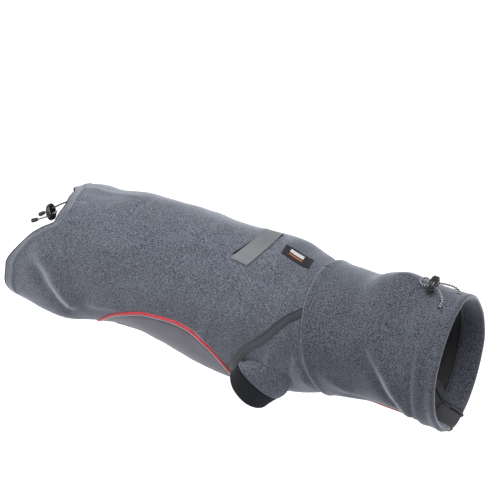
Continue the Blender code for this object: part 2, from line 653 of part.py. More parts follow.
def main():
    for obj in list(bpy.data.objects):
        bpy.data.objects.remove(obj)
    group = bpy.data.collections.new("dog_sweater")
    bpy.context.scene.collection.children.link(group)

    fleece = material("fleece", (0.13, 0.145, 0.18), 0.95)
    stretch = material("stretch", (0.15, 0.15, 0.19), 0.6)
    tape = material("tape", (0.06, 0.065, 0.09), 0.7)
    rib = material("rib", (0.022, 0.025, 0.033), 0.85)
    red = material("piping", (0.80, 0.06, 0.09), 0.5)
    silver = material("reflective", (0.35, 0.37, 0.39), 0.4)
    black = material("plastic", (0.012, 0.012, 0.014), 0.3)
    woven = material("label", (0.015, 0.015, 0.018), 0.8)
    elastic = material("elastic", (0.03, 0.03, 0.035), 0.8)

    cloth("back_panel", back_panel(), FLEECE, fleece, group, flip=True)
    cloth("belly_panel", belly_panel(), STRETCH, stretch, group)
    cloth("collar", collar(), FLEECE, fleece, group, flip=True)
    cloth("throat_gusset", throat_gusset(), STRETCH, stretch, group, flip=True)

    shoulder, turn = shoulder_panel()
    sides = (("right", lambda rows: rows, False), ("left", mirrored, True))
    seam, flash = to_neck(PIPING), to_neck(FLASH)
    under_collar = np.clip((seam[:, 0] - DIP_START) / DIP_LENGTH, 0, 1)
    piping_line = raised(BODY, seam[:, 0], -seam[:, 1], -PIPING_DEPTH - DIP_DEPTH * under_collar)
    flash_line = raised(BODY, flash[:, 0], -flash[:, 1], -PIPING_DEPTH)
    for side, place, flip in sides:
        cloth(f"shoulder_{side}", place(shoulder), FLEECE, fleece, group, True, not flip)
        cloth(f"cuff_{side}", place(cuff(turn)), RIB, rib, group, True, not flip)
        cloth(f"raglan_tape_{side}", place(raglan_tape()), TAPE, tape, group, False, flip)
        cord(f"piping_{side}", place(piping_line), PIPING_RADIUS, red, group)
        cord(f"reflective_edge_{side}", place(flash_line), FLASH_RADIUS, silver, group, 1)
        cord(f"throat_piping_{side}", place(throat_piping()), PIPING_RADIUS, red, group)

    cloth("reflective_bridge", patch(BRIDGE, 3, 11, bridge_lift), WEBBING, silver, group)
    cloth("lead_slot_facing", patch(SLOT, 3, 11, PATCH_LIFT + FACING), FACING, woven, group)
    cloth("label", label(), WEBBING, woven, group)
    for side, place in zip(("right", "left"), NECK_BUTTONHOLES):
        cloth(f"buttonhole_{side}", buttonhole(place), FACING, elastic, group)

    cutters = bpy.data.collections.new("cutters")
    bpy.context.scene.collection.children.link(cutters)
    cord_lock("tail_lock", TAIL_LOCK, black, group, cutters)
    cord_lock("neck_lock", NECK_LOCK, black, group, cutters)
    cord("neck_cord", neck_cord(), CORD_RADIUS, elastic, group)
    tails = (("left", TAIL_CORD_LEFT, 1), ("right", TAIL_CORD_RIGHT, -1))
    for (side, start, sign), end in zip(tails, TAIL_ENDS):
        route = tail_cord(start, TAIL_LOCK, sign, end)
        cord(f"tail_cord_{side}", route, CORD_RADIUS, elastic, group)
        turned_piece(f"tail_cord_end_{side}", END_CAP_RADIUS, END_CAP_LENGTH, end,
                     Vector(route[-1] - route[-2]), black, group)


main()
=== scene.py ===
"""The looks of a small dog's pullover: marled fleece, stretch belly, red pipings and trims.

Every cloth piece is a thin shell on its CAD solid's form, with its creases, seams and stitches
added. The tables of seams and stations repeat the part's own. All sizes are in millimetres and
angles in degrees: +X to the head, +Y to the dog's left, +Z up, the origin on the wearer's spine.
"""

import math

import bpy
import numpy as np
from mathutils import Matrix, Vector


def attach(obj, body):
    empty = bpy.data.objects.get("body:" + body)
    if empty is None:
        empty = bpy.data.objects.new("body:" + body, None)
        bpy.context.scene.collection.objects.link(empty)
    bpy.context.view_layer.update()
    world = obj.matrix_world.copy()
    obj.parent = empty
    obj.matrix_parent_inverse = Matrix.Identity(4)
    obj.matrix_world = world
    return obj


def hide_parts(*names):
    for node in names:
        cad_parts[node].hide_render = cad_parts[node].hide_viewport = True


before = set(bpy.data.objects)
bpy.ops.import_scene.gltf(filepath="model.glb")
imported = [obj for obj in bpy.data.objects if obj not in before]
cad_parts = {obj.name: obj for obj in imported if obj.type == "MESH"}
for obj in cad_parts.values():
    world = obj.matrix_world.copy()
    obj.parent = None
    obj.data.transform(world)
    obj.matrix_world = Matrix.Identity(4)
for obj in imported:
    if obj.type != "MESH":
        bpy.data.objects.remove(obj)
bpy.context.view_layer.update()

MM = 0.001

# The part's own sizes: walls, seams and trims
FLEECE = 2.2
STRETCH = 1.2
TAPE = 1.3
RIB = 1.8
WEBBING = 0.8
SEAM_GAP = 0.4
PIPING_RADIUS = 1.9
PIPING_DEPTH = 0.5
FLASH_RADIUS = 0.7
TAPE_WIDTH = 8.0
HEM_RADIUS = 2.7
TAIL_HEM_DEPTH = 14.0
NECK_HEM_DEPTH = 25.0
PATCH_LIFT = 0.5
MM_PER_DEGREE = 1.2
DIP_START = 128.0
DIP_LENGTH = 16.0
DIP_DEPTH = 1.8
NECK_SEAM = 172.0
COLLAR_FOLD = 147.0
COLLAR_FOLD_OUTER = 151.0
COLLAR_TUCKED = (171.0, 154.0)
COLLAR_MOUTH = 297.0
COLLAR_CLEAR = 1.2
CORD_RADIUS = 1.0
LOCK_SIZE = (21.4, 12.8, 7.4)
LOCK_HOLE_RADIUS = 1.45
LOCK_HOLE_OFFSET = 3.6
LOCK_LEAD = 0.8
END_CAP_RADIUS = 2.6
END_CAP_LENGTH = 9.0

# Finer sizes, which only the looks have
THROAT_PIPING_RADIUS = 1.8
THROAT_PIPING_DEPTH = 0.35
FLASH_SWELL = 0.15
FLASH_DEPTH = 0.1
CHEST_START = 78.0
CHEST_DEPTH = 1.1
TAPE_CROWN = 0.35
# Radius of the black tubes along the tape's edges, which paint the shadow of the gap beside it
TAPE_SHADOW_LINE_RADIUS = 0.85
SLEEVE_ROLL = 1.5
SLEEVE_ROLL_TURNS = (25, 50, 75, 95)
CUFF_TUCK = 2.6
CUFF_TUCK_FADE = 0.06
CUFF_START = 0.03
# Wall of the black sheet under the bridge, which paints the shade of the lead slot
SLOT_SHADE_WALL = 0.4
SHOULDER_CUT = (165.0, 150.0)
# Inner bindings, the black tube that paints the shaded outline of the tail hem's rolled edge, and the
# flat tapes over the seams' inner sides
TAIL_SHADE_LINE_RADIUS = 1.3
TAIL_SHADE_LINE_INSET = 0.04
THROAT_BINDING_RADIUS = 1.9
THROAT_TAPE_ANGLE = 4.5
THROAT_STEP = 0.6
SEAM_TAPE_HALF = 5.5
SEAM_TAPE_GAP = 0.3
SEAM_TAPE_WALL = 0.4
# Rows of points along a hem, and those of them that lie outermost
FLAT_HEM_ROWS = 7
TURNED_HEM_ROWS = 11
HEM_ROWS = FLAT_HEM_ROWS + TURNED_HEM_ROWS
OUTER_HEM_ROWS = 4
# Rows of the collar under its fold and round it
UNDER_ROWS = 9
FOLD_ROWS = 11
# Stations of a path this close to a corner are left out
SHORTEST_STEP = 0.6
# Half of a lock's profile: share of its width, and distance down from its face
LOCK_PROFILE = ((0.30, 0.9), (0.52, 0.75), (0.62, 0.35), (0.68, 0.05), (0.74, 0), (0.80, 0.08),
                (0.885, 0.5), (0.95, 1.1), (0.985, 1.9), (0.99, 2.4), (0.955, 2.7), (0.945, 3.0))
# Profile of an end cap: share of its radius, and height from its middle
CAP_PROFILE = ((0.5, -4.5), (0.74, -4.5), (0.86, -4.0), (0.9, -2.9), (0.82, -2.6), (0.82, -2.2),
               (0.93, -1.9), (0.98, 0.6), (0.9, 0.9), (0.9, 1.3), (1.0, 1.6), (1.0, 3.5),
               (0.9, 4.2), (0.7, 4.5), (0.3, 4.5))
# Stitches of each seam: thread, slot, length, gap and radius, and how far inside some edges they run
STITCHES = {
    "tail_hem": ("grey_thread", "fleece", 2.6, 0.9, 0.24),
    "neck_hem": ("grey_thread", "fleece", 2.6, 0.9, 0.22),
    "belly_hem": ("grey_thread", "stretch", 2.2, 0.8, 0.2),
    "tape": ("black_thread_and_shadow_line", "tape", 1.8, 0.8, 0.2),
    "buttonhole": ("grey_thread", "fleece", 1.1, -0.68, 0.2),
    "bar": ("light_thread", "fleece", 2.0, 0.2, 0.25),
    "strip": ("grey_thread", "reflective", 1.6, 0.6, 0.2),
    "label": ("black_thread_and_shadow_line", "label", 1.5, 0.5, 0.18),
}
TAIL_STITCH_INSET = 13.0
BELLY_STITCH_INSETS = (7.0, 9.0)
STRIP_STITCH_INSETS = (1.6, 3.0)

# Camera
CAMERA_TARGET = Vector((0.044, 0.0, -0.022))
CAMERA_DISTANCE = 1.8
CAMERA_AZIMUTH = math.radians(30.0)
CAMERA_ELEVATION = math.radians(30.0)
VIEW_WIDTH = 0.55
SENSOR = 36.0
FLOOR_HEIGHT = -0.42
LIGHT_TARGET = Vector((0.0, 0.0, -0.08))


def table(columns, *rows):
    """Named columns of a short table."""
    values = np.array(rows, dtype=float)
    return {name: values[:, i] for i, name in enumerate(columns.split())}


BODY = table(
    "x     lean  top   bottom half_width wide n_top n_bottom",
    (-275,   0,  -55, -153,  53, -103, 2.2, 3.0),
    (-240,   0,  -38, -159,  60,  -97, 2.4, 3.0),
    (-210,   0,  -19, -164,  65,  -92, 2.7, 3.0),
    (-182,   0,  -10.5, -165,  68,  -87, 2.7, 2.9),
    (-144,   0,   -3.5, -160,  71,  -81, 2.0, 2.5),
    (-96,    0,    6, -151,  73,  -78, 1.8, 2.2),
    (-48,    0,    5, -163,  75,  -79, 1.8, 2.0),
    (0,      0,  2.2, -178,  75,  -80, 1.75, 2.0),
    (48,     0,   -1, -186,  75,  -81, 1.85, 1.9),
    (96,   -10,   -2, -184,  73,  -81, 2.0, 1.7),
    (134,  -18,  -17, -166,  69,  -80, 2.2, 1.9),
    (150,  -18,  -22, -156,  64,  -81, 1.9, 2.0),
    (172,  -18,  -27, -149,  60,  -82, 1.9, 2.0),
)
COLLAR = table(
    "x     lean  top   bottom half_width wide n_top n_bottom",
    (140,  -16,  -16, -163,  71,  -81, 1.9, 2.0),
    (192,  -10,  -18, -157,  67,  -82, 1.9, 2.0),
    (216,   -7,   -5, -154,  66,  -82, 1.75, 2.0),
    (238,   -4,    5, -154,  66,  -82, 1.4, 2.0),
    (256,   -3,   -3, -155,  67,  -82, 1.6, 2.0),
    (272,   -2,  -10, -160,  68,  -83, 1.95, 2.0),
    (300,    0,   -5, -167,  69,  -88, 1.65, 1.8),
)
PIPING_SEAM = table(
    "x angle",
    (-133, 144), (-110, 126), (-80, 110), (-45, 100), (-10, 97), (20, 102), (40, 115),
    (55, 138), (75, 155), (115, 164), (172, 166), (184, 166),
)
RAGLAN_SEAM = table(
    "x angle", (44, 136), (60, 118), (80, 103), (105, 88), (130, 70), (150, 52), (172, 39), (184, 33))
TAIL_HEM = table(
    "angle x",
    (-138, -254), (-115, -260), (-90, -254), (-70, -236), (-50, -200), (-40, -183), (-20, -183),
    (0, -192), (15, -206), (35, -208), (50, -214), (70, -236), (90, -254), (115, -260), (138, -254),
)
FLAP_EDGE = table("x angle", (-254, 138), (-225, 141), (-195, 142.5), (-165, 143), (-133, 141.5))
# Station where the back's rows no longer follow the tail hem, and the length over which the
# belly's rows still follow its arched edge
TAIL_HEM_FADE_END = -95.0
BELLY_ARCH = 26.0
BELLY_ARCH_FADE = 90.0
THROAT_SEAM = table(
    "x angle", (147, 166), (198, 160), (222, 150), (240, 147), (257, 150), (277, 161), (297, 165))
TRIM_ANGLE = 2.5

ARMHOLE_MIDDLE = (95.0, -124.0)
ARMHOLE_AHEAD = (23.0, -4.0)
ARMHOLE_ACROSS = 11.5
SLEEVE_SEAM = table(
    "part x y z",
    (0, 92.0, -62.8, -141.5), (1, 19.0, 9.5, -23.0), (2, -0.5, -14.5, 5.0), (3, 0.0, 5.5, -2.0),
)
CUFF_EDGE = table(
    "part x y z",
    (0, 79.5, -62.0, -155.5), (1, 19.5, 8.0, -17.5), (2, -0.5, -14.0, -11.0), (3, 0.5, 7.0, 1.5),
)

LABEL_MIDDLE = (120.3, -3.2)
LABEL_SIZE = (36.5, 14.4)
LABEL_TURN = math.radians(12.0)
# Marks woven in the label, and the stitches along its edges, in shares of its length and height
LABEL_MARKS = (("label_band", (0.24, 0.50), (0.74, 0.80), "label_white"),
               ("label_line", (0.24, 0.28), (0.74, 0.36), "label_orange"))
LABEL_BORDER = (((0.03, 0.06), (0.97, 0.06), 33, 1), ((0.03, 0.94), (0.97, 0.94), 33, 1),
                ((0.03, 0.06), (0.03, 0.94), 1, 19), ((0.97, 0.06), (0.97, 0.94), 1, 19))
MARK_LIFT = 0.16
MARK_WALL = 0.1
BRIDGE_BOW = 9.2
BRIDGE = ((41.5, -32.5), (65.5, -34.0), (80.0, 14.5), (49.5, 20.0))
SLOT = ((40.5, -28.0), (61.5, -29.0), (81.0, 17.0), (47.8, 22.5))

TAIL_LOCK = table("part x y z", (0, -213, -18, -36), (1, -0.8, -0.08, -0.6), (2, -0.5, 0.64, 0.59))
TAIL_CORD_LEFT = [(-190, 2, -21.6), (-197, -4, -24), (-204, -10, -27)]
TAIL_CORD_RIGHT = [(-190.5, -36, -19.5), (-196, -30, -26), (-201, -25, -30)]
TAIL_ENDS = [(-229.0, -15.0, -44.0), (-235.5, -21.0, -51.5)]
NECK_LOCK = table("part x y z", (0, 263.8, -1.5, 1.4), (1, -1, 0, 0.05), (2, 0.05, 0.92, 0.39))
NECK_BUTTONHOLES = ((282.0, -18.5), (289.0, 11.0))
BUTTONHOLE_TURN = 20.0
BUTTONHOLE_LENGTH = 9.6
BUTTONHOLE_LIFT = 0.9
SLIT_LENGTH = 7.6
SLIT_WIDTH = 1.3
SLIT_LIFT = 0.3
BUTTONHOLE_RIM = (8.0, 1.008)
BAR_PLACE = 4.4
BAR_HALF = 1.6
BIGHT_REACH = 5.8
BIGHT_RADIUS = 4.8
NECK_CORD_RIGHT = [(273.0, -6.6, -0.9), (277.2, -10.8, -2.9), (280.6, -15.6, -6.0)]
NECK_CORD_LEFT = [(285.7, 11.0, -4.3), (281.2, 9.3, -1.6), (274.8, 5.2, 1.2)]

# Creases: where each starts, bends and ends (x, angle), how wide and high it is
# (a trough is negative), and the share of its length over which it fades in and out.
BODY_CREASES = (
    # flap folds from the tail hem down to the piping's rear end, right and left
    ([(-215, -65), (-180, -86), (-145, -115)], 17.0, 5.4, 0.3, 0.1),
    ([(-215, -82), (-180, -100), (-155, -130)], 12.0, -4.0, 0.3, 0.15),
    ([(-200, 68), (-170, 90), (-145, 120)], 11.0, 5.0, 0.3, 0.1),
    ([(-205, 84), (-175, 104), (-158, 128)], 8.0, -3.6, 0.3, 0.2),
    # a nip across the back, and short ones that run forwards from the tail hem
    ([(-85, 5), (-90, -15), (-100, -35)], 2.6, -1.4, 0.3, 0.3),
    ([(-180, -10), (-155, -12)], 3.0, -1.2, 0.3, 0.4),
    ([(-180, -32), (-150, -30)], 4.0, -1.7, 0.3, 0.4),
    ([(-190, -45), (-160, -52), (-130, -58)], 6.0, 1.4, 0.3, 0.4),
    # slack along the back and the flanks, right and then left
    ([(-190, 5), (-140, 5), (-80, -5)], 5.0, 1.6, 0.2, 0.5),
    ([(-140, -60), (-90, -55), (-40, -45)], 8.0, 1.8, 0.35, 0.4),
    ([(-45, -40), (-10, -33), (30, -30)], 6.0, 1.4, 0.35, 0.3),
    ([(-115, -75), (-65, -70), (-15, -65)], 12.0, -2.4, 0.4, 0.4),
    ([(-140, -110), (-105, -107), (-70, -100)], 6.0, 2.4, 0.3, 0.4),
    ([(10, -60), (45, -66), (85, -58)], 10.0, -1.6, 0.4, 0.4),
    ([(20, -118), (28, -98), (50, -84)], 8.0, 1.4, 0.3, 0.5),
    ([(-90, 30), (-85, 50), (-90, 72)], 5.0, -1.8, 0.4, 0.4),
    ([(-125, 60), (-90, 54), (-50, 50)], 8.0, 1.7, 0.4, 0.4),
    ([(-110, 78), (-60, 72), (-15, 68)], 12.0, -2.2, 0.4, 0.4),
    ([(-30, 30), (-10, 40), (15, 42)], 7.0, 1.3, 0.4, 0.4),
    # pull from the neck seam down over each shoulder
    ([(90, -26), (110, -45), (132, -48)], 7.0, -1.4, 0.4, 0.4),
    ([(142, -75), (128, -105), (106, -140)], 6.0, -3.4, 0.3, 0.15),
    ([(118, -92), (104, -108), (94, -128)], 5.5, 2.0, 0.35, 0.3),
    ([(152, -86), (142, -112), (128, -138)], 5.0, 1.8, 0.3, 0.3),
    ([(142, 76), (128, 108), (112, 134)], 6.0, -3.2, 0.3, 0.2),
    ([(116, 96), (106, 108), (98, 122)], 5.5, 1.8, 0.3, 0.3),
    # slack of the belly behind the piping, and across the chest
    ([(-115, -148), (-90, -142), (-70, -140)], 3.0, 1.7, 0.25, 0.5),
    ([(-110, -156), (-80, -150), (-55, -148)], 3.5, -1.5, 0.25, 0.5),
    ([(-90, -160), (-65, -155), (-35, -154)], 4.0, 1.2, 0.3, 0.5),
    ([(-120, 148), (-95, 142), (-70, 140)], 3.0, 1.5, 0.25, 0.5),
    ([(-20, 150), (5, 168), (12, -170)], 6.0, 1.2, 0.4, 0.4),
    ([(110, 160), (120, 176), (114, -168)], 5.0, -1.6, 0.3, 0.3),
)
COLLAR_CREASES = (
    # the long fold from mid-side down to the throat, and its shadow side
    ([(214, -50), (240, -78), (270, -135)], 10.0, 3.9, 0.25, 0.1),
    ([(206, -60), (230, -90), (254, -135)], 6.5, -3.2, 0.25, 0.15),
    ([(214, 46), (238, 76), (262, 118)], 7.5, 3.2, 0.25, 0.3),
    ([(206, 60), (222, 82), (240, 108)], 7.0, -2.6, 0.25, 0.3),
    # hollow beside the crown, and pulls by the mouth's hem
    ([(228, 0), (242, -25), (264, -55)], 7.0, -2.2, 0.3, 0.4),
    ([(254, -22), (272, -52), (288, -105)], 4.0, 1.2, 0.3, 0.3),
    ([(280, 44), (283, 80), (284, 126)], 3.5, -1.6, 0.3, 0.3),
    ([(290, 60), (287, 84), (289, 110)], 3.0, 1.2, 0.3, 0.3),
    # slack round the middle and the rear
    ([(186, -26), (210, -58), (200, -90)], 12.0, 1.8, 0.4, 0.4),
    ([(176, -44), (188, -66), (184, -92)], 9.0, -1.6, 0.4, 0.4),
    ([(160, -100), (180, -116), (204, -134)], 8.0, 1.6, 0.4, 0.4),
    ([(172, -128), (192, -138), (214, -144)], 6.0, -1.6, 0.4, 0.3),
    ([(190, 30), (204, 56), (200, 86)], 11.0, 1.8, 0.4, 0.4),
)
# Waves of the cloth that no crease names: wavelength, height and direction.
WAVES = ((71.0, 0.42, (0.8, 0.5, 0.3)), (53.0, 0.3, (-0.5, 0.8, 0.4)), (37.0, 0.12, (0.3, -0.6, 0.7)),
         (23.0, 0.08, (0.7, 0.6, -0.4)), (17.0, 0.06, (-0.6, 0.3, 0.8)))
CALM_RADIUS = 26.0
CREASE_STEP = 6.0
# Relief along the tail hem: distance from its edge, width and height.
HEM_RELIEF = ((0.0, 4.5, -1.1), (11.0, 3.6, 1.0), (6.0, 2.5, -0.3))
# Relief round the neck: station, width and height, and the angles between which it runs.
NECK_RELIEF = (
    (COLLAR, COLLAR_FOLD + 6.0, 4.0, 1.6, 0, 165), (BODY, COLLAR_FOLD - 6.0, 4.5, -2.4, 26, 160),
    (COLLAR, COLLAR_MOUTH - NECK_HEM_DEPTH, 2.4, -1.3, 12, 160),
    (COLLAR, COLLAR_MOUTH - NECK_HEM_DEPTH + 6.0, 3.5, 0.9, 25, 160),
    (COLLAR, COLLAR_MOUTH - 9.0, 3.5, -0.9, 30, 150), (COLLAR, COLLAR_MOUTH - 1.0, 2.2, 0.9, 0, 160))
AXIS_HEIGHT = -82.0


# -------------------- the garment's form

def smooth(tab, column, x, key="x"):
    """Monotone cubic through a column, so that nothing bulges between two rows."""
    xs, ys = tab[key], tab[column]
    step = np.diff(xs)
    slope = np.diff(ys) / step
    before, after = slope[:-1], slope[1:]
    same = before * after > 0
    weight_a, weight_b = 2 * step[1:] + step[:-1], step[1:] + 2 * step[:-1]
    mean = (weight_a + weight_b) / (
        weight_a / np.where(same, before, 1) + weight_b / np.where(same, after, 1))
    tangent = np.concatenate([slope[:1], np.where(same, mean, 0.0), slope[-1:]])
    x = np.clip(np.asarray(x, float), xs[0], xs[-1])
    i = np.clip(np.searchsorted(xs, x) - 1, 0, len(xs) - 2)
    t = (x - xs[i]) / step[i]
    return ((1 + 2 * t) * (1 - t) ** 2 * ys[i] + t * (1 - t) ** 2 * step[i] * tangent[i]
            + t * t * (3 - 2 * t) * ys[i + 1] + t * t * (t - 1) * step[i] * tangent[i + 1])


def unit(vectors):
    """Vectors of length one."""
    return vectors / np.linalg.norm(vectors, axis=-1, keepdims=True)


def tube(tab, x, angle):
    """Point of a tube's outer face; the angle runs from the spine, positive to the left."""
    x, angle = np.broadcast_arrays(np.asarray(x, float), np.asarray(angle, float))
    angle = (angle + 180.0) % 360.0 - 180.0
    turn = np.radians(np.abs(angle))
    upper = turn <= math.pi / 2
    top, bottom, wide = (smooth(tab, name, x) for name in ("top", "bottom", "wide"))
    power = 2 / np.where(upper, smooth(tab, "n_top", x), smooth(tab, "n_bottom", x))
    rise = np.where(upper, top, bottom) - wide
    y = np.sign(angle) * smooth(tab, "half_width", x) * np.abs(np.sin(turn)) ** power
    z = wide + rise * np.abs(np.cos(turn)) ** power
    lean = smooth(tab, "lean", x) * (2 * z - top - bottom) / (top - bottom)
    return np.stack([x + lean, y, z], axis=-1)


def frame_at(tab, x, angle):
    """Unit vectors along the tube, around it and out of it."""
    along = tube(tab, np.add(x, 0.5), angle) - tube(tab, np.subtract(x, 0.5), angle)
    around = tube(tab, x, np.add(angle, 0.5)) - tube(tab, x, np.subtract(angle, 0.5))
    out = np.cross(along, around)
    return unit(along), unit(around), unit(out)


def raised(tab, x, angle, lift):
    """Point a distance above the tube's outer face."""
    return tube(tab, x, angle) + frame_at(tab, x, angle)[2] * np.asarray(lift)[..., None]


def sidestep(path, distance):
    """A path of (x, angle) rows, moved sideways on the body; positive is away from the spine."""
    x, angle = path[:, 0], path[:, 1]
    run = unit(np.gradient(tube(BODY, x, angle), axis=0))
    _, around, out = frame_at(BODY, x, angle)
    side = np.cross(run, out)
    side *= np.sign((side * around).sum(1))[:, None] * np.sign(angle)[:, None]
    step_x = tube(BODY, x + 0.5, angle) - tube(BODY, x - 0.5, angle)
    step_a = tube(BODY, x, angle + 0.5) - tube(BODY, x, angle - 0.5)
    moved = path.copy()
    for k in range(len(path)):
        basis = np.stack([step_x[k], step_a[k]], axis=1)
        moved[k] += np.linalg.lstsq(basis, side[k] * distance, rcond=None)[0]
    return moved


def meeting(path_a, path_b):
    """Where two (x, angle) paths cross: the point and the segment of each."""
    for i in range(len(path_a) - 1):
        for j in range(len(path_b) - 1):
            a, b = path_a[i], path_b[j]
            basis = np.stack([path_a[i + 1] - a, b - path_b[j + 1]], axis=1)
            if abs(np.linalg.det(basis)) < 1e-9:
                continue
            s, t = np.linalg.solve(basis, b - a)
            if 0 <= s <= 1 and 0 <= t <= 1:
                return a + s * (path_a[i + 1] - a), i, j
    raise ValueError("the two paths do not cross")


def lengths(points):
    """Distance along a path at each of its points."""
    steps = np.linalg.norm(np.diff(points, axis=0), axis=1)
    return np.concatenate([[0], np.cumsum(steps)])


def at_distances(where, length, rows):
    """Rows of a path at distances along it."""
    return np.stack([np.interp(where, length, column) for column in rows.T], axis=1)


def seam_path(tab_seam, count):
    """Stations along a seam, evenly spaced along the cloth."""
    x = np.linspace(tab_seam["x"][0], tab_seam["x"][-1], 400)
    angle = smooth(tab_seam, "angle", x)
    length = lengths(tube(BODY, x, angle))
    return at_distances(np.linspace(0, length[-1], count), length, np.stack([x, angle], axis=1))


def finer(path, step):
    """A path with stations added on its long legs."""
    rows = [path[:1]]
    for a, b in zip(path, path[1:]):
        count = max(1, math.ceil(np.hypot(*(b - a)) / step))
        rows.append(a + (b - a) * np.arange(1, count + 1)[:, None] / count)
    return np.concatenate(rows)


def even(points, spacing):
    """Points spaced evenly along a path."""
    length = lengths(points)
    stations = np.linspace(0, length[-1], max(4, round(length[-1] / spacing) + 1))
    return at_distances(stations, length, points)


def eased(points, spacing):
    """Even points on a smooth curve through a given route (Catmull-Rom)."""
    route = np.array(points, dtype=float)
    ends = np.concatenate([[2 * route[0] - route[1]], route, [2 * route[-1] - route[-2]]])
    fine = []
    for a, b, c, d in zip(ends, ends[1:], ends[2:], ends[3:]):
        for t in np.linspace(0, 1, 24, endpoint=False):
            fine.append(0.5 * (2 * b + (c - a) * t + (2 * a - 5 * b + 4 * c - d) * t * t
                               + (3 * b - a - 3 * c + d) * t ** 3))
    return even(np.array(fine + [route[-1]]), spacing)


def mirrored(rows):
    """The same rows on the dog's other side."""
    return rows * np.array([1.0, -1.0, 1.0])


def away_from_middle(points):
    """The way from the garment's long middle line to each point."""
    return points * (0, 1, 1) - (0, 0, AXIS_HEIGHT)


# -------------------- creases

def crease_height(points, path, width, height, fade_in, fade_out):
    """How far one soft ridge or trough lifts each point."""
    near = ((points > path.min(0) - 3 * width) & (points < path.max(0) + 3 * width)).all(1)
    inside = points[near]
    best, share = np.full(len(inside), np.inf), np.zeros(len(inside))
    length = lengths(path)
    for a, b, start, stop in zip(path, path[1:], length, length[1:]):
        run = b - a
        t = np.clip(((inside - a) @ run) / (run @ run), 0, 1)
        gap = np.linalg.norm(inside - a - t[:, None] * run, axis=1)
        closer = gap < best
        best = np.where(closer, gap, best)
        share = np.where(closer, (start + t * (stop - start)) / length[-1], share)
    ends = np.clip(share / fade_in, 0, 1) * np.clip((1 - share) / fade_out, 0, 1)
    ends = ends * ends * (3 - 2 * ends)
    lift = np.zeros(len(points))
    lift[near] = height * ends * np.exp(-(best / width) ** 2)
    return lift


def crease_paths():
    """Every crease as a path in space, with its width, height and fades."""
    creases = []
    for tab, rows in ((BODY, BODY_CREASES), (COLLAR, COLLAR_CREASES)):
        for stations, *size in rows:
            route = np.array(stations, dtype=float)
            route[:, 1] = np.degrees(np.unwrap(np.radians(route[:, 1])))
            stations = finer(route, CREASE_STEP)
            creases.append((eased(tube(tab, stations[:, 0], stations[:, 1]), CREASE_STEP), *size))
    angle = np.linspace(-136, 136, 60)
    hem = smooth(TAIL_HEM, "x", angle, key="angle")
    for inset, width, height in HEM_RELIEF:
        creases.append((tube(BODY, hem + inset, angle), width, height, 0.05, 0.05))
    for tab, station, width, height, start, stop in NECK_RELIEF:
        for side in (-1, 1):
            around = side * np.linspace(start, stop, 40)
            fade = 0.01 if start == 0 else 0.25
            creases.append((tube(tab, np.full_like(around, station), around), width, height, fade, 0.1))
    return creases


CREASES = crease_paths()


def creased(points):
    """Points of the smooth form, moved out or in as the cloth's creases take them."""
    flat = points.reshape(-1, 3)
    lift = np.zeros(len(flat))
    for wavelength, height, direction in WAVES:
        lift += height * np.sin(flat @ unit(direction) * 2 * math.pi / wavelength + wavelength)
    for crease in CREASES:
        lift += crease_height(flat, *crease)
    for lock in (NECK_LOCK, TAIL_LOCK):
        middle = np.array([lock[c][0] for c in "xyz"])
        away = np.linalg.norm(flat - middle, axis=1)
        lift *= 1 - np.exp(-(away / CALM_RADIUS) ** 4)
    return (flat + unit(away_from_middle(flat)) * lift[:, None]).reshape(points.shape)


def on_body(x, angle, lift):
    """Point above the creased body."""
    return creased(tube(BODY, x, angle)) + frame_at(BODY, x, angle)[2] * np.asarray(lift)[..., None]


# -------------------- materials

def new_material(name, roughness, **sockets):
    """A principled material and its node tree; constants sit on the shader's own sockets."""
    mat = bpy.data.materials.new(name)
    mat.use_nodes = True
    shader = mat.node_tree.nodes["Principled BSDF"]
    shader.inputs["Roughness"].default_value = roughness
    for socket, value in sockets.items():
        shader.inputs[socket.replace("_", " ")].default_value = value
    return mat, mat.node_tree, shader


def node(tree, kind, links=(), **values):
    """A node with its settings, and its inputs linked or set."""
    made = tree.nodes.new(kind)
    for key, value in values.items():
        if hasattr(made, key):
            setattr(made, key, value)
        else:
            made.inputs[key].default_value = value
    for socket, source in links:
        tree.links.new(source, made.inputs[socket])
    return made


def noise(tree, scale, detail=2.0, roughness=0.5, stretch=(1, 1, 1)):
    """Noise over the point's own place in metres, stretched."""
    place = node(tree, "ShaderNodeTexCoord").outputs["Object"]
    place = node(tree, "ShaderNodeMapping", [("Vector", place)], Scale=stretch).outputs[0]
    return node(tree, "ShaderNodeTexNoise", [("Vector", place)], Scale=scale, Detail=detail,
                Roughness=roughness).outputs["Fac"]


def ramp(tree, factor, *stops):
    """Colour stops (position, colour) along a factor."""
    made = node(tree, "ShaderNodeValToRGB", [("Fac", factor)])
    elements = made.color_ramp.elements
    while len(elements) < len(stops):
        elements.new(0.5)
    for element, (position, color) in zip(elements, stops):
        element.position = position
        element.color = (*color, 1.0)
    return made.outputs["Color"]


def feed(tree, made, values):
    """Inputs by number, each a number, a colour or a node's output."""
    for socket, value in values:
        if isinstance(value, (int, float)):
            made.inputs[socket].default_value = value
        elif isinstance(value, tuple):
            made.inputs[socket].default_value = (*value, 1.0)
        else:
            tree.links.new(value, made.inputs[socket])


def blend(tree, a, b, factor, kind="MIX"):
    """Mix of two colours."""
    made = node(tree, "ShaderNodeMix", data_type="RGBA", blend_type=kind)
    feed(tree, made, ((0, factor), (6, a), (7, b)))
    return made.outputs[2]


def shaded(tree, color, factor, *stops):
    """A colour made darker or lighter along a factor, by stops (position, grey or colour)."""
    tones = [(at, tone if isinstance(tone, tuple) else (tone,) * 3) for at, tone in stops]
    return blend(tree, color, ramp(tree, factor, *tones), 1.0, "MULTIPLY")


def paint(tree, shader, color):
    """The surface's colour, from a node."""
    tree.links.new(color, shader.inputs["Base Color"])


def bump(tree, shader, height, distance, strength=1.0):
    """Relief from a height, chained on the bump the shader already has."""
    made = node(tree, "ShaderNodeBump", [("Height", height)], Strength=strength, Distance=distance)
    for link in list(shader.inputs["Normal"].links):
        tree.links.new(link.from_socket, made.inputs["Normal"])
    tree.links.new(made.outputs["Normal"], shader.inputs["Normal"])


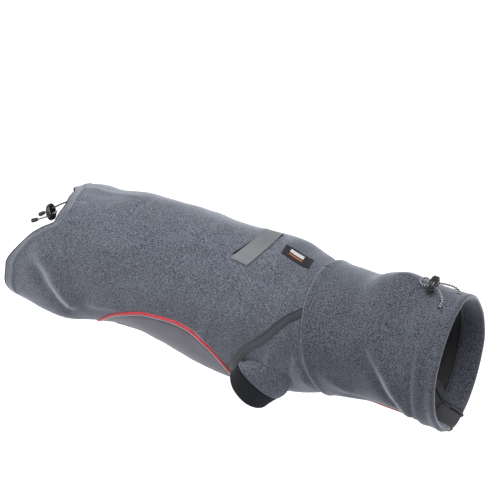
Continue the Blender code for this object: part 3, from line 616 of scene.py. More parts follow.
def math_node(tree, operation, a, b=0.0):
    made = node(tree, "ShaderNodeMath", operation=operation)
    feed(tree, made, enumerate((a, b)))
    return made.outputs[0]


def uv_of(tree):
    """The two lengths on the cloth, in millimetres."""
    uv = node(tree, "ShaderNodeUVMap", uv_map="cloth").outputs[0]
    parts = node(tree, "ShaderNodeSeparateXYZ", [("Vector", uv)])
    return parts.outputs["X"], parts.outputs["Y"]


def ridges(tree, length, pitch):
    """A smooth wave along a length, 0 to 1."""
    wave = math_node(tree, "SINE", math_node(tree, "MULTIPLY", length, 2 * math.pi / pitch))
    return math_node(tree, "MULTIPLY_ADD", wave, 0.5)


def marled_fleece(name, dark, light):
    """Brushed knit of mixed light and dark fibres, with a soft pile."""
    mat, tree, shader = new_material(name, 0.95, Sheen_Weight=1.0, Sheen_Roughness=0.42,
                                     Sheen_Tint=(0.86, 0.9, 1.0, 1.0), Specular_IOR_Level=0.1)
    fine = noise(tree, 1950.0, 1.0, 0.6, (0.85, 1.0, 1.0))
    streak = noise(tree, 1250.0, 1.0, 0.6, (0.5, 1.25, 1.25))
    patches = noise(tree, 30.0, 3.0, 0.6)
    mixed = math_node(tree, "MULTIPLY_ADD", fine, 0.55)
    tree.links.new(math_node(tree, "MULTIPLY", streak, 0.45), mixed.node.inputs[2])
    middle = tuple((a + b) * 0.42 for a, b in zip(dark, light))
    color = ramp(tree, mixed, (0.42, dark), (0.5, middle), (0.58, light))
    color = shaded(tree, color, patches, (0.3, (0.93, 0.93, 0.94)), (0.7, (1.05, 1.05, 1.04)))
    paint(tree, shader, color)
    bump(tree, shader, mixed, 0.0005, 0.5)
    bump(tree, shader, noise(tree, 2600.0, 2.0), 0.00015, 0.5)
    return mat


def fleece_reverse_painted_shade():
    """The brushed inner side, plainer, and darker to paint the shade inside the garment."""
    mat, tree, shader = new_material("fleece_reverse_painted_shade", 0.98, Sheen_Weight=0.3)
    fine = noise(tree, 1000.0, 3.0, 0.6)
    color = ramp(tree, fine, (0.35, (0.026, 0.026, 0.030)), (0.65, (0.058, 0.057, 0.062)))
    paint(tree, shader, color)
    bump(tree, shader, fine, 0.0005, 0.6)
    return mat


def stretch_jersey():
    """Smooth stretch fabric with a fine knit and a dull shine."""
    mat, tree, shader = new_material("stretch", 0.5, Sheen_Weight=0.25, Sheen_Roughness=0.35,
                                     Specular_IOR_Level=0.45)
    along, around = uv_of(tree)
    weave = math_node(tree, "ADD", ridges(tree, along, 0.9), ridges(tree, around, 0.7))
    tone = noise(tree, 45.0, 3.0)
    speckle = noise(tree, 900.0, 2.0)
    color = ramp(tree, tone, (0.3, (0.118, 0.112, 0.15)), (0.7, (0.142, 0.135, 0.178)))
    color = shaded(tree, color, speckle, (0.3, 0.9), (0.7, 1.08))
    paint(tree, shader, color)
    bump(tree, shader, weave, 0.0001, 0.7)
    return mat


def woven(name, dark, light, roughness, pitch, depth, **sockets):
    """Flat woven or knitted band with a thread's relief both ways."""
    mat, tree, shader = new_material(name, roughness, **sockets)
    along, around = uv_of(tree)
    diagonal = math_node(tree, "ADD", along, around)
    weave = math_node(tree, "MULTIPLY", ridges(tree, diagonal, pitch * 1.4), ridges(tree, around, pitch))
    tone = noise(tree, 150.0, 4.0, 0.6)
    color = ramp(tree, tone, (0.3, dark), (0.7, light))
    color = shaded(tree, color, weave, (0.0, 0.82), (1.0, 1.1))
    paint(tree, shader, color)
    bump(tree, shader, weave, depth)
    return mat


def rib_knit():
    """Black rib of the cuffs: fine ribs along the sleeve."""
    mat, tree, shader = new_material("rib", 0.85, Sheen_Weight=0.06, Specular_IOR_Level=0.2)
    along, around = uv_of(tree)
    rib = ridges(tree, around, 1.5)
    color = ramp(tree, rib, (0.0, (0.004, 0.005, 0.008)), (1.0, (0.010, 0.012, 0.017)))
    lint = noise(tree, 260.0, 4.0, 0.7)
    color = shaded(tree, color, lint, (0.45, 0.95), (0.8, 1.5))
    paint(tree, shader, color)
    bump(tree, shader, rib, 0.00018)
    bump(tree, shader, ridges(tree, along, 1.1), 0.00008)
    return mat


def red_satin():
    """Bias-cut cover of the piping cord."""
    mat, tree, shader = new_material("piping", 0.42, Sheen_Weight=0.12, Sheen_Tint=(1.0, 0.4, 0.4, 1.0))
    along, around = uv_of(tree)
    twill = ridges(tree, math_node(tree, "ADD", along, around), 0.8)
    pucker = noise(tree, 260.0, 3.0)
    color = ramp(tree, pucker, (0.3, (0.52, 0.015, 0.03)), (0.7, (0.74, 0.035, 0.062)))
    paint(tree, shader, color)
    bump(tree, shader, twill, 0.00008)
    bump(tree, shader, pucker, 0.0004, 0.5)
    return mat


def reflective_fabric():
    """Grey reflective cloth of tiny glass beads over a fine weave."""
    mat, tree, shader = new_material("reflective", 0.38, Metallic=0.25, Sheen_Weight=0.1)
    along, around = uv_of(tree)
    grid = math_node(tree, "MULTIPLY", ridges(tree, along, 0.6), ridges(tree, around, 0.6))
    tone = noise(tree, 70.0, 4.0, 0.6)
    color = ramp(tree, tone, (0.3, (0.168, 0.177, 0.188)), (0.7, (0.205, 0.216, 0.229)))
    paint(tree, shader, color)
    bump(tree, shader, grid, 0.00006)
    bump(tree, shader, tone, 0.0006, 0.4)
    return mat


def moulded_plastic(name, color, roughness):
    """Moulded plastic with a faint grain and handling marks."""
    mat, tree, shader = new_material(name, roughness, Specular_IOR_Level=0.55)
    wear = noise(tree, 260.0, 4.0, 0.6)
    paint(tree, shader, ramp(tree, wear, (0.4, color), (0.8, tuple(v * 1.5 for v in color))))
    rough = ramp(tree, wear, (0.4, (roughness,) * 3), (0.85, (roughness + 0.12,) * 3))
    tree.links.new(rough, shader.inputs["Roughness"])
    bump(tree, shader, noise(tree, 1800.0, 2.0), 0.00002, 0.3)
    return mat


def braid(name, dark, light, share, pitch=2.6):
    """Braided elastic: light tracer threads wound round dark ones."""
    mat, tree, shader = new_material(name, 0.7, Sheen_Weight=0.2)
    along, around = uv_of(tree)
    helix = math_node(tree, "MULTIPLY_ADD", along, 1 / pitch)
    tree.links.new(around, helix.node.inputs[2])
    stripe = math_node(tree, "LESS_THAN", math_node(tree, "FRACT", helix), share)
    paint(tree, shader, blend(tree, dark, light, stripe))
    plait = math_node(tree, "MULTIPLY", ridges(tree, helix, 0.25), ridges(tree, along, 1.3))
    bump(tree, shader, plait, 0.0002)
    return mat


def thread(name, color):
    """Sewing thread with a fine twist."""
    mat, tree, shader = new_material(name, 0.6, Sheen_Weight=0.3)
    twist = noise(tree, 1500.0, 2.0)
    paint(tree, shader, ramp(tree, twist, (0.3, tuple(v * 0.7 for v in color)), (0.7, color)))
    bump(tree, shader, twist, 0.0001)
    return mat


MATERIALS = {
    "fleece": marled_fleece("fleece", (0.016, 0.019, 0.029), (0.236, 0.253, 0.304)),
    # The collar's fleece is a darker copy of the back's fleece, which paints the shade on the collar's
    # steep sides
    "collar": marled_fleece("collar_fleece_painted_shade", (0.010, 0.012, 0.020), (0.172, 0.184, 0.222)),
    # The fleece's inner side, made darker to paint the shade inside the garment
    "shaded_reverse": fleece_reverse_painted_shade(),
    "stretch": stretch_jersey(),
    "lining": woven("stretch_reverse", (0.05, 0.05, 0.058), (0.07, 0.07, 0.08), 0.7, 0.9, 0.0001),
    "throat": woven("throat", (0.058, 0.058, 0.067), (0.076, 0.076, 0.088), 0.6, 0.9, 0.0001),
    "tape": woven("tape", (0.036, 0.039, 0.056), (0.052, 0.056, 0.078), 0.6, 0.9, 0.00012,
                  Sheen_Weight=0.2),
    "rib": rib_knit(),
    "piping": red_satin(),
    "reflective": reflective_fabric(),
    "silver": thread("silver_edge", (0.62, 0.63, 0.65)),
    "lock": moulded_plastic("lock_plastic", (0.010, 0.010, 0.011), 0.16),
    "cap": moulded_plastic("cap_plastic", (0.018, 0.018, 0.019), 0.42),
    "label": woven("label", (0.012, 0.012, 0.014), (0.02, 0.02, 0.023), 0.7, 0.55, 0.0001),
    "label_white": woven("label_white", (0.72, 0.72, 0.70), (0.82, 0.82, 0.80), 0.7, 0.5, 0.0001),
    "label_orange": woven("label_orange", (0.75, 0.17, 0.05), (0.85, 0.24, 0.08), 0.7, 0.5, 0.0001),
    # Near-black cloth for the sheets and tubes that paint shade: under the bridge, along the tail hem and
    # in the buttonhole slits
    "shade_black": woven("shade_black", (0.006, 0.006, 0.008), (0.012, 0.012, 0.014), 0.85, 0.8, 0.0001),
    "elastic": braid("elastic", (0.010, 0.010, 0.012), (0.68, 0.68, 0.68), 0.36, 2.6),
    "tail_light": braid("tail_light_elastic", (0.06, 0.06, 0.065), (0.55, 0.55, 0.54), 0.45),
    "tail_dark": braid("tail_elastic", (0.014, 0.014, 0.016), (0.22, 0.22, 0.22), 0.35),
    "grey_thread": thread("grey_thread", (0.12, 0.125, 0.15)),
    # Black thread for stitches, also used for the tubes that paint the shadow along the tapes' edges
    "black_thread_and_shadow_line": thread("black_thread_and_shadow_line", (0.02, 0.02, 0.024)),
    "light_thread": thread("light_thread", (0.42, 0.43, 0.46)),
}


# -------------------- meshes

def add_mesh(name, vertices, faces, uvs, materials):
    """Mesh object from points in millimetres, one (u, v) for each face corner."""
    mesh = bpy.data.meshes.new(name)
    mesh.from_pydata((np.asarray(vertices) * MM).tolist(), [], faces)
    layer = mesh.uv_layers.new(name="cloth")
    layer.data.foreach_set("uv", np.asarray(uvs, dtype=np.float32).ravel())
    mesh.shade_smooth()
    for mat in materials:
        mesh.materials.append(MATERIALS[mat])
    obj = bpy.data.objects.new(name, mesh)
    bpy.context.scene.collection.objects.link(obj)
    return obj


def grid_faces(rows, columns, closed):
    """Faces and (column, row) corner numbers of a grid; the column number runs past the seam."""
    last = columns if closed else columns - 1
    faces, corners = [], []
    for first in range(0, (rows - 1) * columns, columns):
        for j in range(last):
            a, b, i = first + j, first + (j + 1) % columns, first // columns
            faces.append((a, b, b + columns, a + columns))
            corners += [(j, i), (j + 1, i), (j + 1, i + 1), (j, i + 1)]
    return faces, np.array(corners)


def closed_faces(rows, sides):
    """Faces of a grid that closes on itself, both its ends shut, and its sides' corners."""
    faces, corners = grid_faces(rows, sides, True)
    return faces + [tuple(range(sides))[::-1], tuple(range((rows - 1) * sides, rows * sides))], corners


def grid_object(name, rings, materials, closed=False):
    """Grid of points; u is the length across the rows and v the length down them."""
    rows, columns = rings.shape[:2]
    faces, corners = grid_faces(rows, columns, closed)
    wide = np.concatenate([rings, rings[:, :1]], axis=1)
    across = np.linalg.norm(np.diff(wide, axis=1), axis=2).mean(0)
    down = np.linalg.norm(np.diff(rings, axis=0), axis=2).mean(1)
    u, v = np.concatenate([[0], np.cumsum(across)]), np.concatenate([[0], np.cumsum(down)])
    uvs = np.stack([v[corners[:, 1]], u[corners[:, 0]]], axis=1)
    return add_mesh(name, rings.reshape(-1, 3), faces, uvs, materials)


def walled(obj, wall):
    """The modifier that gives a surface its wall, behind its outer face."""
    shell = obj.modifiers.new("Wall", "SOLIDIFY")
    shell.thickness = wall * MM
    shell.offset = -1.0
    return shell


def sewn_on(obj, sheet):
    """A trim goes with the sheet it is sewn on, if there is one."""
    obj.parent = sheet
    return obj


def piece(obj, slot, *nodes):
    """Every piece rides on the garment's one body and hides the CAD parts it stands for; the slot is not
    used.
    """
    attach(obj, "root")
    if nodes:
        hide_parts(*nodes)
    return obj


def cloth(name, rings, wall, materials, slot, *nodes, closed=False, flip=False, rim=0.0,
          held="draped", rests_on="back_cloth", cut=None, turned=0):
    """Thin cloth shell whose outer face passes through the creased rings; its flat cut is worked out but
    not used.
    """
    if flip:
        rings = rings[:, ::-1]
    obj = grid_object(name, creased(rings), materials, closed)
    # The first rows, a turned hem's, take the second material: the darker reverse, which paints the shade
    # of the rolled edge
    for face in obj.data.polygons[:turned * (rings.shape[1] - 1)]:
        face.material_index = 1
    walled(obj, wall).material_offset = len(materials) - 1
    if rim:
        soft = obj.modifiers.new("Rim", "BEVEL")
        soft.width = rim * MM
        soft.segments = 2
        soft.angle_limit = math.radians(50.0)
    wide = np.concatenate([rings, rings[:, :1]], axis=1) if closed else rings
    across = np.linalg.norm(np.diff(wide, axis=1), axis=2)
    down = np.linalg.norm(np.diff(wide, axis=0), axis=2)
    wide, long = cut or (across.sum(1).max(), down.sum(0).max())
    return piece(obj, slot, *nodes)


def round_tube(name, path, radius, mat, sides=12):
    """Closed round tube along a path; u runs along it and v once round it, from 0 to 1."""
    run = unit(np.gradient(path, axis=0))
    side = unit(np.cross(run[0], (0.3, 0.2, 1.0)))
    turn = np.linspace(0, 2 * math.pi, sides, endpoint=False)
    rings = []
    for point, way in zip(path, run):
        side = unit(side - (side @ way) * way)
        up = np.cross(way, side)
        rings.append(point + radius * (np.cos(turn)[:, None] * side + np.sin(turn)[:, None] * up))
    rings = np.array(rings)
    faces, corners = closed_faces(len(path), sides)
    faces[:-2] = [face[::-1] for face in faces[:-2]]
    length = lengths(path)
    uvs = np.stack([length[corners[:, 1]], corners[:, 0] / sides], axis=1)
    uvs = uvs.reshape(-1, 4, 2)[:, ::-1].reshape(-1, 2)
    ends = [[(length[k], 0)] * sides for k in (0, -1)]
    return add_mesh(name, rings.reshape(-1, 3), faces, np.concatenate([uvs, *ends]), [mat])


def trim(name, path, step, radius, mat, sides, slot, *nodes, sheet=None):
    """A round trim along a path, made of even steps."""
    return sewn_on(piece(round_tube(name, even(path, step), radius, mat, sides), slot, *nodes), sheet)


def strip(name, rows, mat, wall, slot, sheet, *nodes):
    """A thin woven strip through rows of points, sewn on a sheet."""
    obj = grid_object(name, rows, [mat])
    walled(obj, wall)
    return sewn_on(piece(obj, slot, *nodes), sheet)


def stitches(sheet, name, kind, runs, slant=0.0):
    """Rows of sewn stitches on a sheet; each run is a path and the way out along it."""
    mat, slot, length, gap, radius = STITCHES[kind]
    vertices, faces = [], []
    profile = ((0.0, 0.35), (0.18, 0.9), (0.5, 1.0), (0.82, 0.9), (1.0, 0.35))
    turns = [math.radians(60 * k) for k in range(6)]
    shape = closed_faces(len(profile), len(turns))[0]
    shape = [(face[0], *face[:0:-1]) for face in shape[:-2]] + [face[::-1] for face in shape[-2:]]
    for path, out in runs:
        distance = lengths(path)
        starts = np.arange(gap / 2, distance[-1] - length, length + gap)
        at = starts + length / 2
        middles, aheads, ways_out = (
            at_distances(where, distance, rows)
            for where, rows in ((at, path), (at + 0.3, path), (at, out)))
        for middle, ahead, up in zip(middles, aheads, ways_out):
            run, up = unit(ahead - middle), unit(up)
            side = np.cross(up, run)
            run = run * math.cos(slant) + side * math.sin(slant)
            side = np.cross(up, run)
            faces += [tuple(len(vertices) + k for k in face) for face in shape]
            for share, width in profile:
                centre = middle + run * (share - 0.5) * length
                dip = radius * 0.9 * (2 * share - 1) ** 2
                for turn in turns:
                    away = math.cos(turn) * side + math.sin(turn) * up
                    vertices.append(centre + radius * width * away - up * dip)
    uvs = np.zeros((sum(len(face) for face in faces), 2))
    return sewn_on(piece(add_mesh(name, vertices, faces, uvs, [mat]), slot), sheet)


# -------------------- seams shared by the pieces

PIPING, RAGLAN = seam_path(PIPING_SEAM, 150), seam_path(RAGLAN_SEAM, 75)
PIPING_SIDE, FLASH, BELLY_SIDE = (sidestep(PIPING, distance) for distance in (
    -(PIPING_RADIUS + SEAM_GAP), PIPING_RADIUS + SEAM_GAP + FLASH_RADIUS,
    PIPING_RADIUS + 2 * SEAM_GAP + 2 * FLASH_RADIUS))
TAPE_REAR, TAPE_FRONT, BACK_SIDE, SHOULDER_SIDE = (sidestep(RAGLAN, distance) for distance in (
    -TAPE_WIDTH / 2, TAPE_WIDTH / 2, -(TAPE_WIDTH / 2 + SEAM_GAP), TAPE_WIDTH / 2 + SEAM_GAP))


def from_meeting(path, limit):
    """The part of a seam's path towards the neck, from where it meets another."""
    point, i, _ = meeting(path, limit)
    rest = path[i + 1:]
    rest = rest[np.hypot(*(rest - point).T) > SHORTEST_STEP]
    return np.concatenate([[point], rest])


def padded(path, count):
    """A path with more stations on its first leg, to match a longer one."""
    extra = np.arange(1, count - len(path) + 1)[:, None] / (count - len(path) + 1)
    return np.concatenate([path[:1], path[0] + (path[1] - path[0]) * extra, path[1:]])


def to_neck(path):
    """A path cut off at the neck seam."""
    angle = np.interp(NECK_SEAM, path[:, 0], path[:, 1])
    return np.concatenate([path[path[:, 0] < NECK_SEAM - 0.5], [[NECK_SEAM, angle]]])


# -------------------- cloth pieces

def turned_hem(edge, run, out, depth):
    """Rows of a hem folded inwards past an edge, from its hidden end to the edge."""
    run = unit(run - (run * out).sum(1, keepdims=True) * out)
    rows = [edge - run * back - out * 2 * HEM_RADIUS for back in np.linspace(depth, 0, FLAT_HEM_ROWS)]
    for a in np.radians(np.linspace(165, 15, TURNED_HEM_ROWS)):
        rows.append(edge + run * HEM_RADIUS * math.sin(a) - out * HEM_RADIUS * (1 - math.cos(a)))
    return np.stack(rows)


def back_rows():
    """Fleece from the tail hem to the neck seam, turned under at the tail."""
    corner, _, i_pipe = meeting(BACK_SIDE, PIPING_SIDE)
    flap = finer(np.stack([FLAP_EDGE["x"], FLAP_EDGE["angle"]], axis=1), 2.5)
    lower = PIPING_SIDE[1:i_pipe + 1]
    lower = lower[corner[0] - lower[:, 0] > SHORTEST_STEP]
    upper = to_neck(from_meeting(BACK_SIDE, PIPING_SIDE))
    edge = np.concatenate([flap[:-1], PIPING_SIDE[:1], lower, upper])
    share = np.linspace(-1, 1, 141)
    hem_angle = share * edge[0, 1]
    hem_x = smooth(TAIL_HEM, "x", hem_angle, key="angle")
    reach = np.clip((edge[:, 0] - edge[0, 0]) / (TAIL_HEM_FADE_END - edge[0, 0]), 0, 1)
    fade = (1 - reach) ** 1.6
    x = edge[:, :1] + fade[:, None] * (hem_x - edge[0, 0])[None, :]
    x = np.maximum.accumulate(x, axis=0)
    angle = edge[:, 1:] * share[None, :]
    outer = tube(BODY, x, angle)
    out = frame_at(BODY, x[0], angle[0])[2]
    hem = turned_hem(outer[0], outer[0] - outer[1], out, TAIL_HEM_DEPTH)
    return np.concatenate([hem, outer])


def belly_rows():
    """Stretch fabric under the belly and chest, its tail edge arched forwards."""
    side = to_neck(BELLY_SIDE)
    share = np.linspace(-1, 1, 61)
    span = 180.0 - side[:, 1]
    angle = 180.0 - span[:, None] * share[None, :]
    fade = np.clip(1 - (side[:, 0] - side[0, 0]) / BELLY_ARCH_FADE, 0, 1) ** 1.5
    x = side[:, :1] + fade[:, None] * BELLY_ARCH * (1 - share ** 2)[None, :]
    return tube(BODY, x, angle)


def ring_point(ring, turn):
    """Point of a sleeve ring: turn 0 is its front, 90 degrees its outer side."""
    middle, ahead, outside, inside = (
        np.array([ring[c][k] for c in "xyz"]) for k in range(4))
    across = np.sin(turn)[:, None]
    return (middle + np.cos(turn)[:, None] * ahead
            + np.clip(across, 0, 1) * outside - np.clip(across, -1, 0) * inside)


def shoulder_outline():
    """Edge of the right shoulder panel in (x, angle), closed, from the underarm corner."""
    top = to_neck(from_meeting(SHOULDER_SIDE, PIPING_SIDE))
    low = to_neck(from_meeting(PIPING_SIDE, SHOULDER_SIDE))[1:]
    front = np.linspace(top[-1, 1], low[-1, 1], 50)[1:-1]
    front = np.stack([np.full(len(front), NECK_SEAM), front], axis=1)
    return np.concatenate([top, front, low[::-1]])


def shoulder_rows():
    """Fleece shoulder that runs on into a short sleeve; the right one."""
    outline = shoulder_outline() * (1, -1)
    middle = np.array(ARMHOLE_MIDDLE)
    away = (outline - middle) * (1.0, MM_PER_DEGREE)
    turn = np.arctan2(away[:, 1], away[:, 0])
    hole = (middle + np.cos(turn)[:, None] * ARMHOLE_AHEAD
            + np.sin(turn)[:, None] * (0.0, ARMHOLE_ACROSS))
    rows = []
    for share in np.linspace(0, 1, 31):
        path = outline + (hole - outline) * share
        rows.append(tube(BODY, path[:, 0], path[:, 1]))
    start, end = rows[-1], ring_point(SLEEVE_SEAM, turn)
    run = unit(ring_point(CUFF_EDGE, turn) - end)
    bend = end - run * 0.5 * np.linalg.norm(end - start, axis=1, keepdims=True)
    for t in np.linspace(0, 1, 13)[1:]:
        rows.append((1 - t) ** 2 * start + 2 * t * (1 - t) * bend + t * t * end)
    inward = sleeve_inward(end, run)
    for roll in np.radians(SLEEVE_ROLL_TURNS):
        rows.append(end + SLEEVE_ROLL * (run * math.sin(roll) + inward * (1 - math.cos(roll))))
    return np.stack(rows), turn


def sleeve_inward(ring, run):
    """The way from a sleeve ring to its middle, square to the sleeve."""
    inward = ring.mean(0) - ring
    return unit(inward - (inward * run).sum(1, keepdims=True) * run)


def cuff_rows(turn):
    """Cuff from the sleeve's seam to its free edge; the right one."""
    near, far = ring_point(SLEEVE_SEAM, turn), ring_point(CUFF_EDGE, turn)
    run = unit(far - near)
    inward = sleeve_inward(near, run)
    return np.stack([near + (far - near) * share + inward * CUFF_TUCK * math.exp(-share / CUFF_TUCK_FADE)
                     for share in np.linspace(CUFF_START, 1, 27)])


def tape_rows():
    """Tape over the raglan seam, from the piping to the neck seam; the right one."""
    rear = to_neck(from_meeting(TAPE_REAR, PIPING_SIDE))
    front = to_neck(from_meeting(TAPE_FRONT, PIPING_SIDE))
    count = max(len(rear), len(front))
    rear, front = padded(rear, count), padded(front, count)
    share = np.linspace(0, 1, 11)[None, :, None]
    path = (rear[:, None] + (front - rear)[:, None] * share) * (1, -1)
    crown = TAPE_CROWN * np.sin(np.pi * share[0, :, 0]) ** 0.5
    return raised(BODY, path[..., 0], path[..., 1], crown)


def throat_angle(x):
    """Angle of the throat seam at a station of the collar."""
    return smooth(THROAT_SEAM, "angle", x)


def collar_rows(angles):
    """The collar's cloth from the neck seam back under its fold, out to the mouth and in.

    angles(x) gives the columns' angles at a station.
    """
    rows = [raised(BODY, x, angles(x), SEAM_GAP + COLLAR_CLEAR)
            for x in np.linspace(*COLLAR_TUCKED, UNDER_ROWS)]
    around = angles(COLLAR_FOLD_OUTER)
    low, high = rows[-1], tube(COLLAR, COLLAR_FOLD_OUTER, around)
    along = frame_at(COLLAR, COLLAR_FOLD_OUTER, around)[0]
    middle, half = (low + high) / 2, (high - low) / 2
    depth = np.linalg.norm(half, axis=1, keepdims=True)
    for turn in np.radians(np.linspace(-75, 75, FOLD_ROWS)):
        rows.append(middle + half * math.sin(turn) - along * depth * math.cos(turn))
    rows += [tube(COLLAR, x, angles(x)) for x in np.linspace(COLLAR_FOLD_OUTER, COLLAR_MOUTH, 74)]
    along, _, out = frame_at(COLLAR, COLLAR_MOUTH, angles(COLLAR_MOUTH))
    hem = turned_hem(rows[-1], along, out, NECK_HEM_DEPTH)
    return np.concatenate([np.stack(rows), hem[::-1]])


def patch(corners, columns, rows, lift):
    """Points over a four-cornered patch of the body, its long sides bowed forwards.

    The corners are (x, angle), and lift reads (u, v).
    """
    a, b, c, d = (np.array(corner, float) for corner in corners)
    u, v = np.meshgrid(np.linspace(0, 1, columns), np.linspace(0, 1, rows))
    mix_u, mix_v = u[..., None], v[..., None]
    place = (a * (1 - mix_u) + b * mix_u) * (1 - mix_v) + (d * (1 - mix_u) + c * mix_u) * mix_v
    place[..., :1] += BRIDGE_BOW * 4 * mix_v * (1 - mix_v)
    return raised(BODY, place[..., 0], place[..., 1], lift(u, v))


def label_rows(low, high, lift, columns=33, rows=19):
    """Rows of a rectangle on the label, its corners given as shares of the label."""
    c, s = math.cos(LABEL_TURN), math.sin(LABEL_TURN)
    u, v = np.meshgrid(np.linspace(low[0], high[0], columns), np.linspace(low[1], high[1], rows))
    x, y = (u - 0.5) * LABEL_SIZE[0], (v - 0.5) * LABEL_SIZE[1]
    station = LABEL_MIDDLE[0] + c * x - s * y
    angle = LABEL_MIDDLE[1] + (s * x + c * y) / MM_PER_DEGREE
    return raised(BODY, station, angle, lift)


def line_on(rows, distance, lift=0.0):
    """A line across a cloth's columns, a distance down from its first row, and the way out."""
    steps = np.linalg.norm(np.diff(rows, axis=0), axis=2)
    down = np.concatenate([np.zeros((1, rows.shape[1])), np.cumsum(steps, axis=0)])

    def at(length):
        return creased(np.concatenate([at_distances([length], down[:, j], rows[:, j])
                                       for j in range(rows.shape[1])]))
    line = at(distance)
    out = unit(np.cross(np.gradient(line, axis=0), at(distance + 1.0) - at(distance - 1.0)))
    out *= np.sign((out * away_from_middle(line)).sum(1, keepdims=True))
    return line + out * lift, out


def buttonhole_line(place, along, across):
    """Points beside a buttonhole on the collar, in its own millimetres, and the way out."""
    x, angle = place
    turn = math.radians(math.copysign(BUTTONHOLE_TURN, -angle))
    station = x + along * math.cos(turn) - across * math.sin(turn)
    angle = angle + (along * math.sin(turn) + across * math.cos(turn)) / MM_PER_DEGREE
    return creased(tube(COLLAR, station, angle)), frame_at(COLLAR, station, angle)[2]


# -------------------- cords and locks

def lock_axes(lock):
    """A cord lock's middle, cord direction and long side, the last two square to each other."""
    middle, along, long_side = (Vector((lock["x"][k], lock["y"][k], lock["z"][k]))
                                for k in range(3))
    along.normalize()
    long_side = (long_side - long_side.dot(along) * along).normalized()
    return middle, along, long_side


def lock_hole(lock, sign):
    """Points along one hole of a lock, from where the cord comes in to where it goes out."""
    middle, along, long_side = lock_axes(lock)
    centre = middle + long_side * LOCK_HOLE_OFFSET * sign
    half = LOCK_SIZE[2] / 2 + LOCK_LEAD
    return [tuple(centre + along * half * step) for step in (-1.0, 0.0, 1.0)]


def neck_cord_route():
    """Elastic loop of the neck hem: out of one buttonhole, through the lock, round and back."""
    lift = BUTTONHOLE_LIFT + CORD_RADIUS + SEAM_GAP
    near, far = (tuple(raised(COLLAR, x, angle, lift)) for x, angle in NECK_BUTTONHOLES)
    middle, along, long_side = lock_axes(NECK_LOCK)
    turn = middle + along * (LOCK_SIZE[2] / 2 + BIGHT_REACH)
    bight = [tuple(turn + BIGHT_RADIUS * (long_side * math.cos(a) + along * math.sin(a)))
             for a in np.linspace(-0.3, math.pi + 0.3, 11)]
    route = ([far] + NECK_CORD_LEFT + lock_hole(NECK_LOCK, 1) + bight
             + lock_hole(NECK_LOCK, -1)[::-1] + NECK_CORD_RIGHT + [near])
    return eased(route, 1.0)


def tail_cord_route(start, sign, end):
    """Cord from the tail hem through its hole in the lock to its end cap."""
    inside = lock_hole(TAIL_LOCK, sign)
    reach = Vector(end) - Vector(inside[-1])
    last = Vector(end) - reach.normalized() * (END_CAP_LENGTH / 2 + SEAM_GAP)
    return eased(list(start) + inside + [tuple(last)], 1.0)


def turned_solid(name, profile, sides, mat):
    """Round solid of (radius, height) rows about its own Z axis, closed by its end rows."""
    turn = np.linspace(0, 2 * math.pi, sides, endpoint=False)
    rings = np.array([np.stack([r * np.cos(turn), r * np.sin(turn), np.full(sides, h)], axis=1)
                      for r, h in profile])
    faces, corners = closed_faces(len(profile), sides)
    uvs = [(profile[i][1], j / sides * 6.0) for j, i in corners] + [(0, 0)] * 2 * sides
    return add_mesh(name, rings.reshape(-1, 3), faces, uvs, [mat])


def cord_lock(name, lock, node_name):
    """Flat oval cord lock: a grooved rim, dished faces and a hole for each cord."""
    thick = LOCK_SIZE[2] / 2
    half = [(share / 2, thick - down) for share, down in LOCK_PROFILE]
    profile = [(r, -h) for r, h in half] + half[::-1]
    obj = turned_solid(name, profile, 64, "lock")
    middle, along, long_side = lock_axes(lock)
    place = Matrix((long_side, along.cross(long_side), along)).transposed().to_4x4()
    place = Matrix.Translation(middle * MM) @ place
    obj.data.transform(Matrix.Diagonal((LOCK_SIZE[0], LOCK_SIZE[1], 1.0, 1.0)))
    obj.data.transform(place)
    cutters = []
    for sign in (1, -1):
        hole = [(LOCK_HOLE_RADIUS, h) for h in (-thick * 2, thick * 2)]
        cutter = turned_solid(f"{name}_cutter", hole, 24, "lock")
        cutter.data.transform(place @ Matrix.Translation((sign * LOCK_HOLE_OFFSET * MM, 0, 0)))
        cut = obj.modifiers.new("Hole", "BOOLEAN")
        cut.object = cutter
        cutters.append(cutter)
    shape = obj.evaluated_get(bpy.context.evaluated_depsgraph_get())
    obj.data = bpy.data.meshes.new_from_object(shape)
    obj.modifiers.clear()
    for cutter in cutters:
        bpy.data.objects.remove(cutter)
    obj.data.set_sharp_from_angle(angle=math.radians(40.0))
    return piece(obj, "lock", node_name)


def end_cap(name, middle, way, node_name):
    """Crimped cord end: a tapered barrel with two grooves and an open mouth."""
    profile = [(END_CAP_RADIUS * share, height) for share, height in CAP_PROFILE]
    obj = turned_solid(name, profile, 32, "cap")
    turn = Vector((0, 0, 1)).rotation_difference(Vector(way))
    obj.data.transform(Matrix.Translation(Vector(middle) * MM) @ turn.to_matrix().to_4x4())
    return piece(obj, "cap", node_name)


def make_camera():
    """Camera over the dog's right shoulder, with the view's width at the garment."""
    data = bpy.data.cameras.new("camera")
    data.sensor_width = SENSOR
    data.lens = SENSOR * CAMERA_DISTANCE / VIEW_WIDTH
    camera = bpy.data.objects.new("camera", data)
    away = Vector((math.cos(CAMERA_ELEVATION) * math.sin(CAMERA_AZIMUTH),
                   -math.cos(CAMERA_ELEVATION) * math.cos(CAMERA_AZIMUTH), math.sin(CAMERA_ELEVATION)))
    camera.location = CAMERA_TARGET + away * CAMERA_DISTANCE
    camera.rotation_euler = (-away).to_track_quat("-Z", "Y").to_euler()
    bpy.context.scene.collection.objects.link(camera)
    bpy.context.scene.camera = camera


